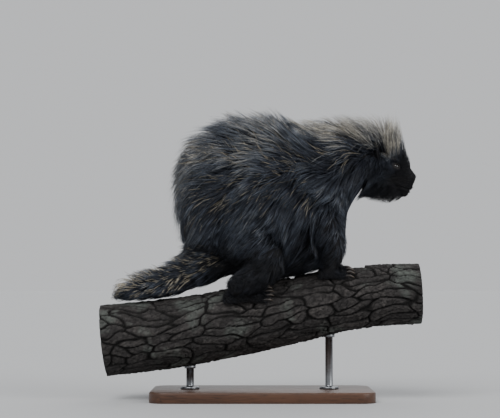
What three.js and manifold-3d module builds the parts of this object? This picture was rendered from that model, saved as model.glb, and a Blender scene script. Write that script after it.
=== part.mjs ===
// A porcupine that sits hunched on a cut length of tree limb, as a still, life-size model on a
// plain display stand. Millimetres, +Z up. The head looks along +X, the animal's right side is
// -Y, and the origin is on the floor under the middle of the base.
//
// Each part of the body is a sweep: oval sections along a bent line, closed by a dome at each
// end. The long coat stands on a core that reaches under half way to the tips, as flat locks of
// guard hair and as round quills, set evenly over the surface and laid along the coat's flow.
import * as THREE from "three";
import { mergeVertices } from "three/addons/utils/BufferGeometryUtils.js";
import Module from "manifold-3d";

const wasm = await Module();
wasm.setup();
const { Manifold, Mesh: SolidMesh } = wasm;

// Clearance between pieces that touch, and round what a strand of hair is cut by
const GAP = 0.35;
const HAIR_GAP = 0.5;

// The stand: a flat base and two short rods
const BASE = { length: 460, width: 250, thickness: 22, corner: 34, chamfer: 3 };
const ROD = { radius: 8, footRadius: 20, footHeight: 5, places: [-150, 140] };

// The limb: its top passes under the hind feet at this height and rises towards the head
const SEAT = 232;
const LIMB = { sides: 20, rings: 14, ridges: 10, relief: 2.4 };

// The coat: its depth from skin to tips, and the share of it that is solid core
const COAT = {
  torso: { top: 66, side: 50, bottom: 24, start: 56, end: 24 },
  neck: { top: 64, side: 40, bottom: 18, start: 20, end: 36 },
  head: { start: 44, end: 0 },
  tail: { top: 26, side: 26, bottom: 12, start: 24, end: 20 },
  leg: { top: 15, side: 15, bottom: 15, start: 0, end: 0 },
};
const CORE_SHARE = 0.38;

// Guard hair in flat locks: how far apart they are rooted, and their length, half width and depth
const LOCKS = {
  torso: { spacing: 46, length: 98, halfWidth: 21, depth: 4.6, seed: 3 },
  neck: { spacing: 34, length: 74, halfWidth: 16, depth: 4.2, seed: 5 },
  head: { spacing: 21, length: 56, halfWidth: 12, depth: 3, seed: 7 },
  tail: { spacing: 46, length: 62, halfWidth: 18, depth: 3.6, seed: 9 },
  leg: { spacing: 27, length: 50, halfWidth: 13, depth: 3, seed: 11 },
};

// Quills, round and pointed, that show among the locks
const QUILLS = {
  torso: { spacing: 33, length: 74, halfWidth: 1.9, depth: 1.9, seed: 23 },
  neck: { spacing: 34, length: 60, halfWidth: 1.7, depth: 1.7, seed: 25 },
  tail: { spacing: 40, length: 46, halfWidth: 1.8, depth: 1.8, seed: 29 },
};

// Quills grow on the upper side only: how far up their place faces, and how far forwards they reach
const QUILL_REACH = {
  torso: { facing: 0.15, furthest: 60 },
  neck: { facing: 0.5, furthest: 200 },
  tail: { facing: -0.3, furthest: 0 },
};

// How deep a strand is rooted in the core, how steeply it first rises, the shares of its length
// that are left where the coat is shallow or stands up, and how much it varies
const SINK = 9;
const RISE = 1.6;
const SHORTEST = { shallow: 0.55, upright: 0.35 };
const VARY = { length: 0.14, stand: 0.1, sway: 0.22 };

// A strand's rings, from root to tip, and how wide and deep it is at each. Locks roll to a side
const LOCK = {
  steps: [0, 0.3, 0.62, 0.86, 1], widths: [0.7, 1, 0.78, 0.42], depths: [1, 0.95, 0.75, 0.5],
  roll: 0.3,
};
const QUILL = { steps: [0, 0.55, 1], widths: [0.9, 1], depths: [0.9, 1], roll: 0 };

// The way hair lies, as a slope down for each step back: back along the top, down on the flanks,
// straight down on the chest, back and up over the crown, and along the tail
const LIE = {
  facingDown: [-0.92, 0.15], facingForward: [0.15, 0.8],
  top: 0.12, flank: 1.3, chest: 1.2,
  headBack: 0.9, crown: 0.5, throat: -0.3,
  tailTop: 0.15, tailSide: 0.4,
};

// Hair stands closer and finer on the chest, and wider apart under the belly
const FINENESS = { chest: 0.72, belly: 1.3, facingForward: [0.1, 0.6], facingDown: [0.5, 1] };

// The head: its nose stands here, and its axis rises backwards from there
const NOSE = new THREE.Vector3(319, 0, SEAT + 223);
const HEAD_PITCH = THREE.MathUtils.degToRad(22);

// Skin sections, each [x, y, height above the seat, up, down, half width]
const TORSO_ROWS = [
  [-104, 0, 158, 112, 92, 68],
  [-70, 0, 164, 132, 120, 85],
  [-20, 0, 168, 138, 132, 96],
  [40, 0, 170, 136, 130, 95],
  [90, 0, 178, 124, 122, 87],
  [130, 0, 186, 108, 108, 72],
];
const TORSO_DOMES = { start: 28, end: 32 };
const NECK_ROWS = [
  [118, 0, 215, 82, 76, 70],
  [155, 0, 238, 60, 56, 60],
  [190, 0, 250, 50, 46, 50],
  [222, 0, 262, 42, 42, 42],
];
const NECK_DOMES = { start: 20, end: 16 };
const TAIL_ROWS = [
  [-282, 0, -8, 13, 10, 18],
  [-235, 0, 0, 18, 14, 24],
  [-185, 0, 12, 23, 18, 28],
  [-140, 0, 32, 28, 24, 33],
  [-96, 0, 64, 34, 34, 36],
];
const TAIL_DOMES = { start: 12, end: 20 };

// Head sections, each [distance behind the nose, up, down, half width, and the coat's depth above,
// below and beside]
const HEAD_SECTIONS = [
  [4, 15, 27, 16.5, 0, 3, 0],
  [12, 20, 33, 20.5, 4, 9, 0],
  [26, 27, 37, 24, 14, 18, 2],
  [42, 33, 41, 28, 29, 22, 4],
  [58, 37, 44, 33, 43, 23, 9],
  [76, 38, 46, 38, 54, 24, 16],
  [94, 36, 46, 39, 62, 25, 24],
  [112, 32, 44, 36, 66, 26, 30],
];
const HEAD_DOMES = { start: 14, end: 5 };

const EYE = { back: 48, up: 13, out: 23, radius: 7 };
const EAR = { back: 90, up: 27, out: 38, height: 20, halfWidth: 14, halfDepth: 7 };
const MOUTH = { back: 34, up: -20, slope: 0.12, width: 1.6, depth: 3 };

// Feet stand on the limb at this angle from its top, each with its heel, ball and toe ends
const FORE_FOOT = {
  heel: 136, ball: 165, toeEnd: 184, clawEnd: 200, angle: 0.62, toes: 4, halfWidth: 17, depth: 10,
};
const HIND_FOOT = {
  heel: -62, ball: -4, toeEnd: 17, clawEnd: 35, angle: 0.84, toes: 5, halfWidth: 20, depth: 11,
};

const coatMaterial = new THREE.MeshStandardMaterial({ color: 0x2b2a2e, roughness: 0.85 });
const faceMaterial = new THREE.MeshStandardMaterial({ color: 0x17161a, roughness: 0.8 });
const footMaterial = new THREE.MeshStandardMaterial({ color: 0x201d1d, roughness: 0.6 });
const eyeMaterial = new THREE.MeshStandardMaterial({ color: 0x050505, roughness: 0.08 });
const barkMaterial = new THREE.MeshStandardMaterial({ color: 0x4b443f, roughness: 0.95 });
const baseMaterial = new THREE.MeshStandardMaterial({ color: 0x3a2c22, roughness: 0.45 });
const steelMaterial = new THREE.MeshStandardMaterial({
  color: 0x8d9094, roughness: 0.35, metalness: 1,
});

// Solids

function solidOf(positions, triangles) {
  const mesh = new SolidMesh({
    numProp: 3,
    vertProperties: new Float32Array(positions.flatMap((p) => [p.x, p.y, p.z])),
    triVerts: new Uint32Array(triangles),
  });
  return new Manifold(mesh);
}

// Vertices nearer than this are one
const MERGE = 1e-3;

// A geometry's solid, without triangles that the merge closes up: those with one corner twice, and
// those that lie back to back
function solidOfGeometry(geometry, matrix = new THREE.Matrix4()) {
  const placed = geometry.clone().applyMatrix4(matrix);
  placed.deleteAttribute("normal");
  placed.deleteAttribute("uv");
  const merged = mergeVertices(placed, MERGE);
  const kept = new Map();
  for (let i = 0; i < merged.index.count; i += 3) {
    const corners = [0, 1, 2].map((k) => merged.index.getX(i + k));
    const first = corners.indexOf(Math.min(...corners));
    const [a, b, c] = [0, 1, 2].map((k) => corners[(first + k) % 3]);
    if (a === b || b === c || c === a) continue;
    const [key, opposite] = [[a, b, c].join(), [a, c, b].join()];
    if (kept.get(opposite)?.length) kept.get(opposite).pop();
    else kept.set(key, [...(kept.get(key) ?? []), [a, b, c]]);
  }
  return new Manifold(new SolidMesh({
    numProp: 3,
    vertProperties: merged.getAttribute("position").array,
    triVerts: new Uint32Array([...kept.values()].flat(2)),
  }));
}

function union(solids) {
  return solids.length === 1 ? solids[0] : Manifold.union(solids);
}

function largest(solid) {
  return solid.decompose().reduce((a, b) => (b.volume() > a.volume() ? b : a));
}

function geometryOf(solid) {
  const { vertProperties, triVerts } = solid.getMesh();
  return new THREE.BufferGeometry()
    .setAttribute("position", new THREE.BufferAttribute(vertProperties, 3))
    .setIndex(new THREE.BufferAttribute(triVerts, 1));
}

// A node keeps its largest closed surface, also once its vertices are merged
function settle(solid) {
  return largest(solidOfGeometry(geometryOf(largest(solid))));
}

function meshOf(name, solid, material) {
  const mesh = new THREE.Mesh(geometryOf(solid), material);
  mesh.name = name;
  return mesh;
}

// Sweeps

const DOME_SHARE = 0.14;
const DOME_ANGLES = [60, 30].map(THREE.MathUtils.degToRad);
const SAMPLES = 32;

class Sweep {
  constructor(rows, { start = 0, end = 0 } = {}, across = new THREE.Vector3(0, 1, 0)) {
    const curve = (points) => new THREE.CatmullRomCurve3(points, false, "catmullrom", 0.5);
    this.line = curve(rows.map(([x, y, z]) => new THREE.Vector3(x, y, z)));
    this.sizes = curve(rows.map(([, , , up, down, side]) => new THREE.Vector3(up, down, side)));
    this.start = start;
    this.end = end;
    this.across = across;
    this.startShare = start > 0 ? DOME_SHARE : 0;
    this.endShare = end > 0 ? DOME_SHARE : 0;
    this.samples = Array.from({ length: SAMPLES + 1 }, (_, i) => ({
      centre: this.line.getPoint(i / SAMPLES),
      sizes: this.sizes.getPoint(i / SAMPLES),
      ...this.frame(i / SAMPLES),
    }));
  }

  frame(t) {
    const along = this.line.getTangent(t);
    const side = this.across.clone().addScaledVector(along, -this.across.dot(along)).normalize();
    const up = along.clone().cross(side);
    return { along, side, up };
  }

  // The surface at a share of the whole length, domes included, and an angle from the top
  at(share, angle, grow = 0) {
    const body = 1 - this.startShare - this.endShare;
    const t = THREE.MathUtils.clamp((share - this.startShare) / body, 0, 1);
    let turn = 0;
    if (share < this.startShare) turn = -(1 - share / this.startShare) * (Math.PI / 2);
    if (share > 1 - this.endShare) turn = (1 - (1 - share) / this.endShare) * (Math.PI / 2);
    const { along, side, up } = this.frame(t);
    const dome = (turn < 0 ? this.start : this.end) + grow;
    const [above, below, half] = this.sizes.getPoint(t).toArray();
    const height = (Math.cos(angle) >= 0 ? above : below) + grow;
    return this.line.getPoint(t)
      .addScaledVector(along, dome * Math.sin(turn))
      .addScaledVector(up, height * Math.cos(angle) * Math.cos(turn))
      .addScaledVector(side, (half + grow) * Math.sin(angle) * Math.cos(turn));
  }

  // Where a point's own section has its centre, the place on the surface straight out from there
  // through the point, and how far out the point lies as a share of that way
  project(point) {
    const ahead = ({ centre, along }) => point.clone().sub(centre).dot(along);
    let [low, high] = [0, SAMPLES];
    while (high - low > 1) {
      const middle = (low + high) >> 1;
      if (ahead(this.samples[middle]) > 0) low = middle;
      else high = middle;
    }
    const [before, after] = [this.samples[low], this.samples[high]];
    const [from, to] = [ahead(before), ahead(after)];
    const blend = THREE.MathUtils.clamp(from / (from - to), 0, 1);
    const mix = (key) => before[key].clone().lerp(after[key], blend);
    const centre = mix("centre");
    const offset = point.clone().sub(centre);
    const [above, below, half] = mix("sizes").toArray();
    const height = offset.dot(mix("up"));
    let beyond = 0;
    if (low === 0 && from < 0) beyond = from / Math.max(this.start, 1);
    if (high === SAMPLES && to > 0) beyond = to / Math.max(this.end, 1);
    const ratio = Math.hypot(
      height / (height > 0 ? above : below), offset.dot(mix("side")) / half, beyond);
    return { ratio, centre, surface: centre.clone().addScaledVector(offset, 1 / ratio) };
  }

  solid(rings, sides, grow = 0, relief = () => 0) {
    const shares = [];
    if (this.start > 0) {
      shares.push(...DOME_ANGLES.map((a) => this.startShare * (1 - a / (Math.PI / 2))));
    }
    const body = 1 - this.startShare - this.endShare;
    for (let i = 0; i < rings; i++) shares.push(this.startShare + (body * i) / (rings - 1));
    if (this.end > 0) {
      shares.push(...DOME_ANGLES.toReversed().map((a) => 1 - this.endShare * (1 - a / (Math.PI / 2))));
    }
    const flat = (share, sign) => {
      const { along } = this.frame(share);
      return this.line.getPoint(share).addScaledVector(along, sign * grow);
    };
    const positions = [this.start > 0 ? this.at(0, 0, grow) : flat(0, -1)];
    shares.forEach((share, ring) => {
      for (let k = 0; k < sides; k++) {
        const angle = (2 * Math.PI * k) / sides;
        const point = this.at(share, angle, grow + relief(ring, k));
        if (this.start === 0 && ring === 0) point.addScaledVector(this.frame(0).along, -grow);
        if (this.end === 0 && ring === shares.length - 1) {
          point.addScaledVector(this.frame(1).along, grow);
        }
        positions.push(point);
      }
    });
    positions.push(this.end > 0 ? this.at(1, 0, grow) : flat(1, 1));
    return solidOf(positions, tubeTriangles(shares.length, sides));
  }
}

// Triangles of a tube of rings that is closed by one point at each end
function tubeTriangles(rings, sides) {
  const triangles = [];
  const last = rings * sides + 1;
  const corner = (ring, k) => 1 + ring * sides + (k % sides);
  for (let k = 0; k < sides; k++) {
    triangles.push(0, corner(0, k), corner(0, k + 1));
    for (let ring = 0; ring < rings - 1; ring++) {
      const [a, b] = [corner(ring, k), corner(ring, k + 1)];
      const [c, d] = [corner(ring + 1, k), corner(ring + 1, k + 1)];
      triangles.push(a, c, d, a, d, b);
    }
    triangles.push(last, corner(rings - 1, k + 1), corner(rings - 1, k));
  }
  return triangles;
}

// A furred part: its core, and the surface that the tips of its hair reach. Each row ends with
// the coat's depth above, below and beside
const furred = [];

function furredPart(rows, domes, coatDomes = { start: 0, end: 0 }) {
  const grownTo = (share) => new Sweep(
    rows.map(([x, y, height, up, down, side, above, below, beside]) => [
      x, y, SEAT + height, up + share * above, down + share * below, side + share * beside,
    ]),
    {
      start: domes.start + share * coatDomes.start,
      end: domes.end + share * coatDomes.end,
    });
  const part = { core: grownTo(CORE_SHARE), tips: grownTo(1) };
  furred.push(part);
  return part;
}

function coated(rows, { top, bottom, side }) {
  return rows.map((row) => [...row, top, bottom, side]);
}

function ball(centre, radii, matrix = new THREE.Matrix4(), grow = 0, segments = [8, 6]) {
  const scale = new THREE.Matrix4().makeScale(...radii.map((r) => r + grow));
  const place = new THREE.Matrix4().makeTranslation(centre.x, centre.y, centre.z);
  return solidOfGeometry(
    new THREE.SphereGeometry(1, ...segments), place.multiply(matrix).multiply(scale));
}

// The limb

const limb = new Sweep([
  [-330, 0, SEAT - 110, 72, 72, 72],
  [-180, 0, SEAT - 93, 71, 71, 71],
  [-46, 0, SEAT - 69, 69, 69, 69],
  [80, 0, SEAT - 43, 66.5, 66.5, 66.5],
  [170, 0, SEAT - 24, 64, 64, 64],
  [250, 0, SEAT - 14.5, 62.5, 62.5, 62.5],
  [330, 0, SEAT - 11, 61, 61, 61],
]);

function barkRelief(ring, k) {
  const ridge = (2 * Math.PI * LIMB.ridges * k) / LIMB.sides;
  return LIMB.relief * Math.cos(ridge + 0.9 * Math.sin(ring * 1.3) + 0.5 * ring);
}

function limbSolid(grow) {
  return limb.solid(LIMB.rings, LIMB.sides, grow, barkRelief);
}

// The share of the limb's line at a place along it
function limbShare(x) {
  let [low, high] = [0, 1];
  for (let i = 0; i < 30; i++) {
    const middle = (low + high) / 2;
    if (limb.line.getPoint(middle).x < x) low = middle;
    else high = middle;
  }
  return low;
}

function onLimb(x, angle, height) {
  return limb.at(limbShare(x), angle, height);
}

// The stand

function baseSolid() {
  const [halfLength, halfWidth] = [BASE.length / 2 - BASE.chamfer, BASE.width / 2 - BASE.chamfer];
  const corner = BASE.corner - BASE.chamfer;
  const outline = new THREE.Shape();
  outline.moveTo(-halfLength + corner, -halfWidth);
  const corners = [[1, -1, -90], [1, 1, 0], [-1, 1, 90], [-1, -1, 180]];
  for (const [x, y, from] of corners) {
    const start = THREE.MathUtils.degToRad(from);
    outline.absarc(
      x * (halfLength - corner), y * (halfWidth - corner), corner, start, start + Math.PI / 2);
  }
  const geometry = new THREE.ExtrudeGeometry(outline, {
    depth: BASE.thickness - 2 * BASE.chamfer,
    curveSegments: 4,
    bevelThickness: BASE.chamfer,
    bevelSize: BASE.chamfer,
    bevelSegments: 1,
  });
  return solidOfGeometry(geometry, new THREE.Matrix4().makeTranslation(0, 0, BASE.chamfer));
}

function rodSolid(x) {
  const bottom = BASE.thickness + GAP;
  const height = limb.line.getPoint(limbShare(x)).z - bottom;
  const profile = [
    [0, 0], [ROD.footRadius, 0], [ROD.footRadius, ROD.footHeight], [ROD.radius, ROD.footHeight + 2],
    [ROD.radius, height], [0, height],
  ];
  const geometry = new THREE.LatheGeometry(profile.map(([r, h]) => new THREE.Vector2(r, h)), 18);
  const upright = new THREE.Matrix4().makeTranslation(x, 0, bottom)
    .multiply(new THREE.Matrix4().makeRotationX(Math.PI / 2));
  return solidOfGeometry(geometry, upright);
}

// The body

const torso = furredPart(coated(TORSO_ROWS, COAT.torso), TORSO_DOMES, COAT.torso);
const neck = furredPart(coated(NECK_ROWS, COAT.neck), NECK_DOMES, COAT.neck);
const tail = furredPart(coated(TAIL_ROWS, COAT.tail), TAIL_DOMES, COAT.tail);

// A place in the head's own frame: behind the nose, above the axis and out to a side
function inHead(back, up, out) {
  const [cosine, sine] = [Math.cos(HEAD_PITCH), Math.sin(HEAD_PITCH)];
  return NOSE.clone().add(
    new THREE.Vector3(-cosine * back + sine * up, out, sine * back + cosine * up));
}

const headTurn = new THREE.Matrix4().makeRotationY(HEAD_PITCH);

const head = furredPart(
  HEAD_SECTIONS.toReversed().map(([back, up, down, side, ...coat]) => {
    const { x, y, z } = inHead(back, 0, 0);
    return [x, y, z - SEAT, up, down, side, ...coat];
  }),
  HEAD_DOMES, COAT.head);

function eyeSolid(sign, grow) {
  const radius = EYE.radius;
  return ball(
    inHead(EYE.back, EYE.up, sign * EYE.out), [radius, radius, radius], headTurn, grow, [10, 7]);
}

function lidSolid(sign, grow) {
  const outward = inHead(0, 3, sign * 10).sub(inHead(2, 0, 0)).normalize();
  const turn = new THREE.Quaternion().setFromUnitVectors(new THREE.Vector3(0, 0, 1), outward);
  const centre = inHead(EYE.back, EYE.up, sign * EYE.out).addScaledVector(outward, 3.4);
  const matrix = new THREE.Matrix4().compose(centre, turn, new THREE.Vector3(1, 1, 1));
  return solidOfGeometry(new THREE.TorusGeometry(7.2, 2.1 + grow, 4, 10), matrix);
}

function mouthSolid() {
  const length = MOUTH.back + 12;
  const slab = new THREE.BoxGeometry(length, 90, MOUTH.width);
  const turn = new THREE.Matrix4().makeRotationY(HEAD_PITCH - MOUTH.slope);
  const centre = inHead(MOUTH.back - length / 2, MOUTH.up, 0);
  const place = new THREE.Matrix4().makeTranslation(centre.x, centre.y, centre.z).multiply(turn);
  return solidOfGeometry(slab, place).subtract(muzzleSolid(-MOUTH.depth));
}

function nostrilSolid(sign) {
  return ball(inHead(1.5, 3.5, sign * 6.2), [4.5, 2.2, 3.2], headTurn, 0, [7, 5]);
}

function muzzleSolid(grow) {
  return union([
    head.core.solid(8, 16, grow),
    ball(inHead(12, -7, 9), [13, 10, 13], headTurn, grow),
    ball(inHead(12, -7, -9), [13, 10, 13], headTurn, grow),
    ball(inHead(15, -29, 0), [13, 13, 9], headTurn, grow),
  ]);
}

function headSolid(grow) {
  const solid = union([muzzleSolid(grow), lidSolid(1, grow), lidSolid(-1, grow)]);
  const cuts = [mouthSolid(), nostrilSolid(1), nostrilSolid(-1)];
  return grow > 0 ? solid : cuts.reduce((rest, cut) => rest.subtract(cut), solid);
}

// An ear stands out from the side of the crown, with its cup open forwards and outwards
function earSolid(sign, grow) {
  const lean = new THREE.Matrix4().makeRotationX(-sign * 0.55);
  const turn = headTurn.clone().multiply(lean).multiply(new THREE.Matrix4().makeRotationZ(sign * 0.7));
  const place = inHead(EAR.back, EAR.up, sign * EAR.out);
  const shell = ball(place, [EAR.halfDepth, EAR.halfWidth, EAR.height], turn, grow, [10, 7]);
  if (grow > 0) return shell;
  const forward = new THREE.Vector3(EAR.halfDepth * 0.9, 0, EAR.height * 0.3).applyMatrix4(turn);
  const cup = ball(
    place.clone().add(forward), [EAR.halfDepth * 0.85, EAR.halfWidth * 0.74, EAR.height * 0.66],
    turn, 0, [9, 6]);
  return shell.subtract(cup);
}

// Legs and feet

// The coat thins out towards the foot
function legPart(rows, domes) {
  const { top, bottom, side } = COAT.leg;
  return furredPart(rows.map((row, i) => {
    const share = 1 - i / rows.length;
    return [...row, share * top, share * bottom, share * side];
  }), domes);
}

function foreLeg(sign) {
  const wrist = onLimb(150, sign * FORE_FOOT.angle, 13);
  return legPart([
    [120, sign * 58, 170, 36, 34, 30],
    [130, sign * 64, 122, 29, 28, 25],
    [146, sign * 57, 84, 23, 23, 20],
    [wrist.x, wrist.y, wrist.z - SEAT, 15, 16, 14],
  ], { start: 10, end: 8 });
}

function thigh(sign) {
  return legPart([
    [-56, sign * 56, 150, 62, 58, 38],
    [-14, sign * 71, 100, 54, 52, 31],
    [22, sign * 76, 62, 36, 36, 25],
  ], { start: 20, end: 16 });
}

function shank(sign) {
  const ankle = onLimb(-46, sign * HIND_FOOT.angle, 33);
  return legPart([
    [22, sign * 75, 58, 28, 30, 23],
    [-14, sign * 73, 24, 25, 27, 21],
    [ankle.x, ankle.y, ankle.z - SEAT, 17, 19, 16],
  ], { start: 10, end: 9 });
}

function footSolid(foot, sign, grow) {
  const spot = (x, shift, height) => {
    const radius = limb.sizes.getPoint(limbShare(x)).x;
    return onLimb(x, sign * (foot.angle + shift / radius), height);
  };
  const row = (x, shift, height, up, down, side) => [
    ...spot(x, shift, height).toArray(), up, down, side,
  ];
  const across = spot(foot.ball, 6, 0).sub(spot(foot.ball, -6, 0)).normalize()
    .multiplyScalar(sign);
  const sole = new Sweep([
    row(foot.heel, 0, foot.depth - 1, foot.depth * 0.9, foot.depth, foot.halfWidth * 0.78),
    row((foot.heel + foot.ball) / 2, 0, foot.depth, foot.depth, foot.depth, foot.halfWidth * 0.9),
    row(foot.ball, 0, foot.depth - 2, foot.depth * 0.82, foot.depth, foot.halfWidth),
  ], { start: 8, end: 7 }, across);
  const pieces = [sole.solid(3, 8, grow)];
  for (let i = 0; i < foot.toes; i++) {
    const place = i - (foot.toes - 1) / 2;
    const spread = (2 * foot.halfWidth) / foot.toes;
    const reach = -1.4 * place * place;
    const step = (x, splay, height) => spot(x + reach, place * spread * splay, height);
    pieces.push(spike([
      step(foot.ball - 6, 0.9, 6.5),
      step(foot.toeEnd, 1.12, 6.5),
      step(foot.toeEnd + 3, 1.13, 8),
      step((foot.toeEnd + foot.clawEnd) / 2 + 2, 1.18, 7.2),
      step(foot.clawEnd, 1.24, 0.8),
    ], [4.6, 4.1, 2.3, 1.9], [5.6, 4.6, 2.6, 2.2], across, 5, grow));
  }
  return union(pieces);
}

// Spikes, locks and quills

// How much a flat three-sided spike widens and deepens for each unit of clearance round it
const FLAT_GROWTH = { wide: 7, deep: 2 };

// A closed spike: a ring of a few sides at each point but the last, which is its tip. The way
// across it is one direction, or one for each point
function spike(points, halfWidths, halfDepths, across, sides, grow = 0) {
  const positions = [];
  const rings = points.length - 1;
  const [wider, deeper] = sides === 3
    ? [grow * FLAT_GROWTH.wide, grow * FLAT_GROWTH.deep] : [grow, grow];
  for (let i = 0; i < rings; i++) {
    const along = points[i + 1].clone().sub(points[Math.max(i - 1, 0)]).normalize();
    const wanted = across[i] ?? across;
    const side = wanted.clone().addScaledVector(along, -wanted.dot(along)).normalize();
    const up = along.clone().cross(side);
    for (let k = 0; k < sides; k++) {
      const angle = (2 * Math.PI * k) / sides;
      positions.push(points[i].clone()
        .addScaledVector(up, (halfDepths[i] + deeper) * Math.cos(angle))
        .addScaledVector(side, (halfWidths[i] + wider) * Math.sin(angle)));
    }
  }
  const end = points[rings].clone().sub(points[rings - 1]).normalize();
  positions.push(points[rings].clone().addScaledVector(end, 2 * grow));
  const triangles = [];
  const tip = rings * sides;
  for (let k = 0; k < sides; k++) {
    const next = (k + 1) % sides;
    if (k > 0 && k < sides - 1) triangles.push(0, k, next);
    for (let ring = 0; ring < rings - 1; ring++) {
      const [a, b] = [ring * sides + k, ring * sides + next];
      const [c, d] = [a + sides, b + sides];
      triangles.push(a, c, d, a, d, b);
    }
    triangles.push(tip - sides + k, tip, tip - sides + next);
  }
  return solidOf(positions, triangles);
}

function seededRandom(seed) {
  let state = seed;
  return () => {
    state = (state + 0x6d2b79f5) | 0;
    let mixed = Math.imul(state ^ (state >>> 15), 1 | state);
    mixed = (mixed + Math.imul(mixed ^ (mixed >>> 7), 61 | mixed)) ^ mixed;
    return ((mixed ^ (mixed >>> 14)) >>> 0) / 4294967296;
  };
}

// The furred part that a place lies deepest in or nearest to, and its surface there
function projectOn(kind, place) {
  return furred.map((part) => ({ part, ...part[kind].project(place) }))
    .reduce((a, b) => (b.ratio < a.ratio ? b : a));
}

const { smoothstep, lerp } = THREE.MathUtils;

function lieAt(part, normal) {
  const hang = smoothstep(-normal.z, ...LIE.facingDown);
  const front = smoothstep(normal.x, ...LIE.facingForward);
  const lie = new THREE.Vector3(
    front - 1, 0, -lerp(LIE.top, LIE.flank, hang) - LIE.chest * front);
  if (part === head) lie.set(-LIE.headBack, 0, lerp(LIE.crown, LIE.throat, hang));
  if (part === tail) lie.set(-1, 0, -lerp(LIE.tailTop, LIE.tailSide, hang));
  return lie.addScaledVector(normal, -lie.dot(normal)).normalize();
}

// How the hair stands at a place on the core: its depth to the tips, and the way out
function coatAt(place) {
  const { surface, centre } = projectOn("tips", place);
  const normal = place.clone().sub(centre).normalize();
  return { normal, depth: Math.max(surface.sub(place).dot(normal), 0) };
}

// A strand of hair: it leaves the core at a root, and lies over the body up to the coat's tips
function strand(root, steps, { length, stand, sway, roll }) {
  const points = [];
  const across = [];
  let { place, part } = root;
  steps.forEach((step, i) => {
    const { normal, depth } = coatAt(place);
    const lie = lieAt(part, normal);
    const side = normal.clone().cross(lie);
    const height = depth * stand * (1 - (1 - step) ** RISE) - SINK * (1 - step) ** 3;
    points.push(place.clone().addScaledVector(normal, height));
    across.push(side.clone().addScaledVector(normal, roll));
    const ahead = (steps[i + 1] ?? step) - step;
    const flat = Math.sqrt(Math.max(length ** 2 - depth ** 2, 0));
    const reach = ahead * Math.max(flat, SHORTEST.upright * length);
    ({ surface: place, part } = projectOn("core", place.clone()
      .addScaledVector(lie, reach).addScaledVector(side, sway * step * reach)));
  });
  return { points, across };
}

// A strand that bends or twists too sharply would cross itself
const LEAST_AGREEMENT = { bend: 0.2, twist: 0.7 };

function isSound({ points, across }) {
  const steps = points.slice(1).map((point, i) => point.clone().sub(points[i]).normalize());
  const ways = across.map((way) => way.clone().normalize());
  const agree = (list, least) => list.slice(1).every((way, i) => way.dot(list[i]) > least);
  return agree(steps, LEAST_AGREEMENT.bend) && agree(ways, LEAST_AGREEMENT.twist);
}

function fineness(normal) {
  const forward = smoothstep(normal.x, ...FINENESS.facingForward);
  const down = smoothstep(-normal.z, ...FINENESS.facingDown);
  return lerp(1, FINENESS.chest, forward) * lerp(1, FINENESS.belly, down);
}

// Places spread evenly over a furred part, no two nearer than the spacing, clear of other parts
const ROOT_TRIES = 2500;
const LEAST_DEPTH = 4;

function spreadRoots(part, { spacing, seed }, accepts = () => true) {
  const random = seededRandom(seed);
  const roots = [];
  for (let i = 0; i < ROOT_TRIES; i++) {
    const place = part.core.at(random(), (2 * random() - 1) * Math.PI);
    const nearest = Math.min(...roots.map((other) => other.place.distanceTo(place)));
    if (nearest < FINENESS.chest * spacing) continue;
    const { normal, depth } = coatAt(place);
    const scale = fineness(normal);
    const isOwn = projectOn("core", place.clone().addScaledVector(normal, -1)).part === part;
    if (nearest > scale * spacing && isOwn && depth > LEAST_DEPTH && accepts(place, normal)) {
      roots.push({ part, place, normal, depth, scale });
    }
  }
  return roots;
}

// Strands from roots spread over a furred part. They shorten where the coat is shallow
function strandsOf(part, sizes, shape, accepts) {
  const random = seededRandom(sizes.seed + 100);
  const vary = (share) => 1 + share * (2 * random() - 1);
  const fullDepth = (1 - CORE_SHARE) * COAT.torso.top;
  return spreadRoots(part, sizes, accepts).map((root) => {
    const { place, depth, scale } = root;
    const path = strand(root, shape.steps, {
      length: sizes.length * lerp(SHORTEST.shallow, 1, Math.min(depth / fullDepth, 1))
        * vary(VARY.length),
      stand: vary(VARY.stand),
      sway: VARY.sway * (2 * random() - 1),
      roll: shape.roll * (2 * random() - 1),
    });
    const width = vary(VARY.length) * scale * sizes.halfWidth;
    return {
      place, path,
      solid: (grow) => spike(
        path.points, shape.widths.map((share) => share * width),
        shape.depths.map((share) => share * sizes.depth), path.across, 3, grow),
    };
  }).filter(({ path }) => isSound(path));
}

// The nodes

// Half of space: everything on one side of a plane, which a growth moves outwards
function halfSpace(point, direction, grow) {
  const size = 1400;
  const facing = direction.clone().normalize();
  const turn = new THREE.Quaternion().setFromUnitVectors(new THREE.Vector3(0, 0, 1), facing);
  const centre = point.clone().addScaledVector(facing, size / 2 - grow);
  return solidOfGeometry(
    new THREE.BoxGeometry(size, size, size),
    new THREE.Matrix4().compose(centre, turn, new THREE.Vector3(1, 1, 1)));
}

const NAPE = {
  point: new THREE.Vector3(226, 0, SEAT + 262), forward: new THREE.Vector3(0.98, 0, -0.2),
};
const SHOULDER = {
  point: new THREE.Vector3(140, 0, SEAT + 235), forward: new THREE.Vector3(0.9, 0, 0.43),
};

// The trunk of the body in one piece, which the cuts at nape and shoulder part
function bodySolid(grow) {
  return union([torso.core.solid(10, 20, grow), neck.core.solid(4, 16, grow), headSolid(grow)]);
}

// A length of the trunk between cuts. It stops short of each by a little over half the clearance
const CUT_INSET = 0.6 * GAP;

function between(grow, ...cuts) {
  return cuts.reduce((rest, { point, forward, sign }) => {
    const side = forward.clone().multiplyScalar(sign);
    return rest.intersect(halfSpace(point, side, grow - CUT_INSET));
  }, bodySolid(grow));
}

const sides = [["left", 1], ["right", -1]];
const legs = sides.map(([side, sign]) => ({
  side, sign, foreLeg: foreLeg(sign), thigh: thigh(sign), shank: shank(sign),
}));

// The part of the trunk that a root belongs to, or none right at a cut
const CUT_MARGIN = 6;

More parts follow.
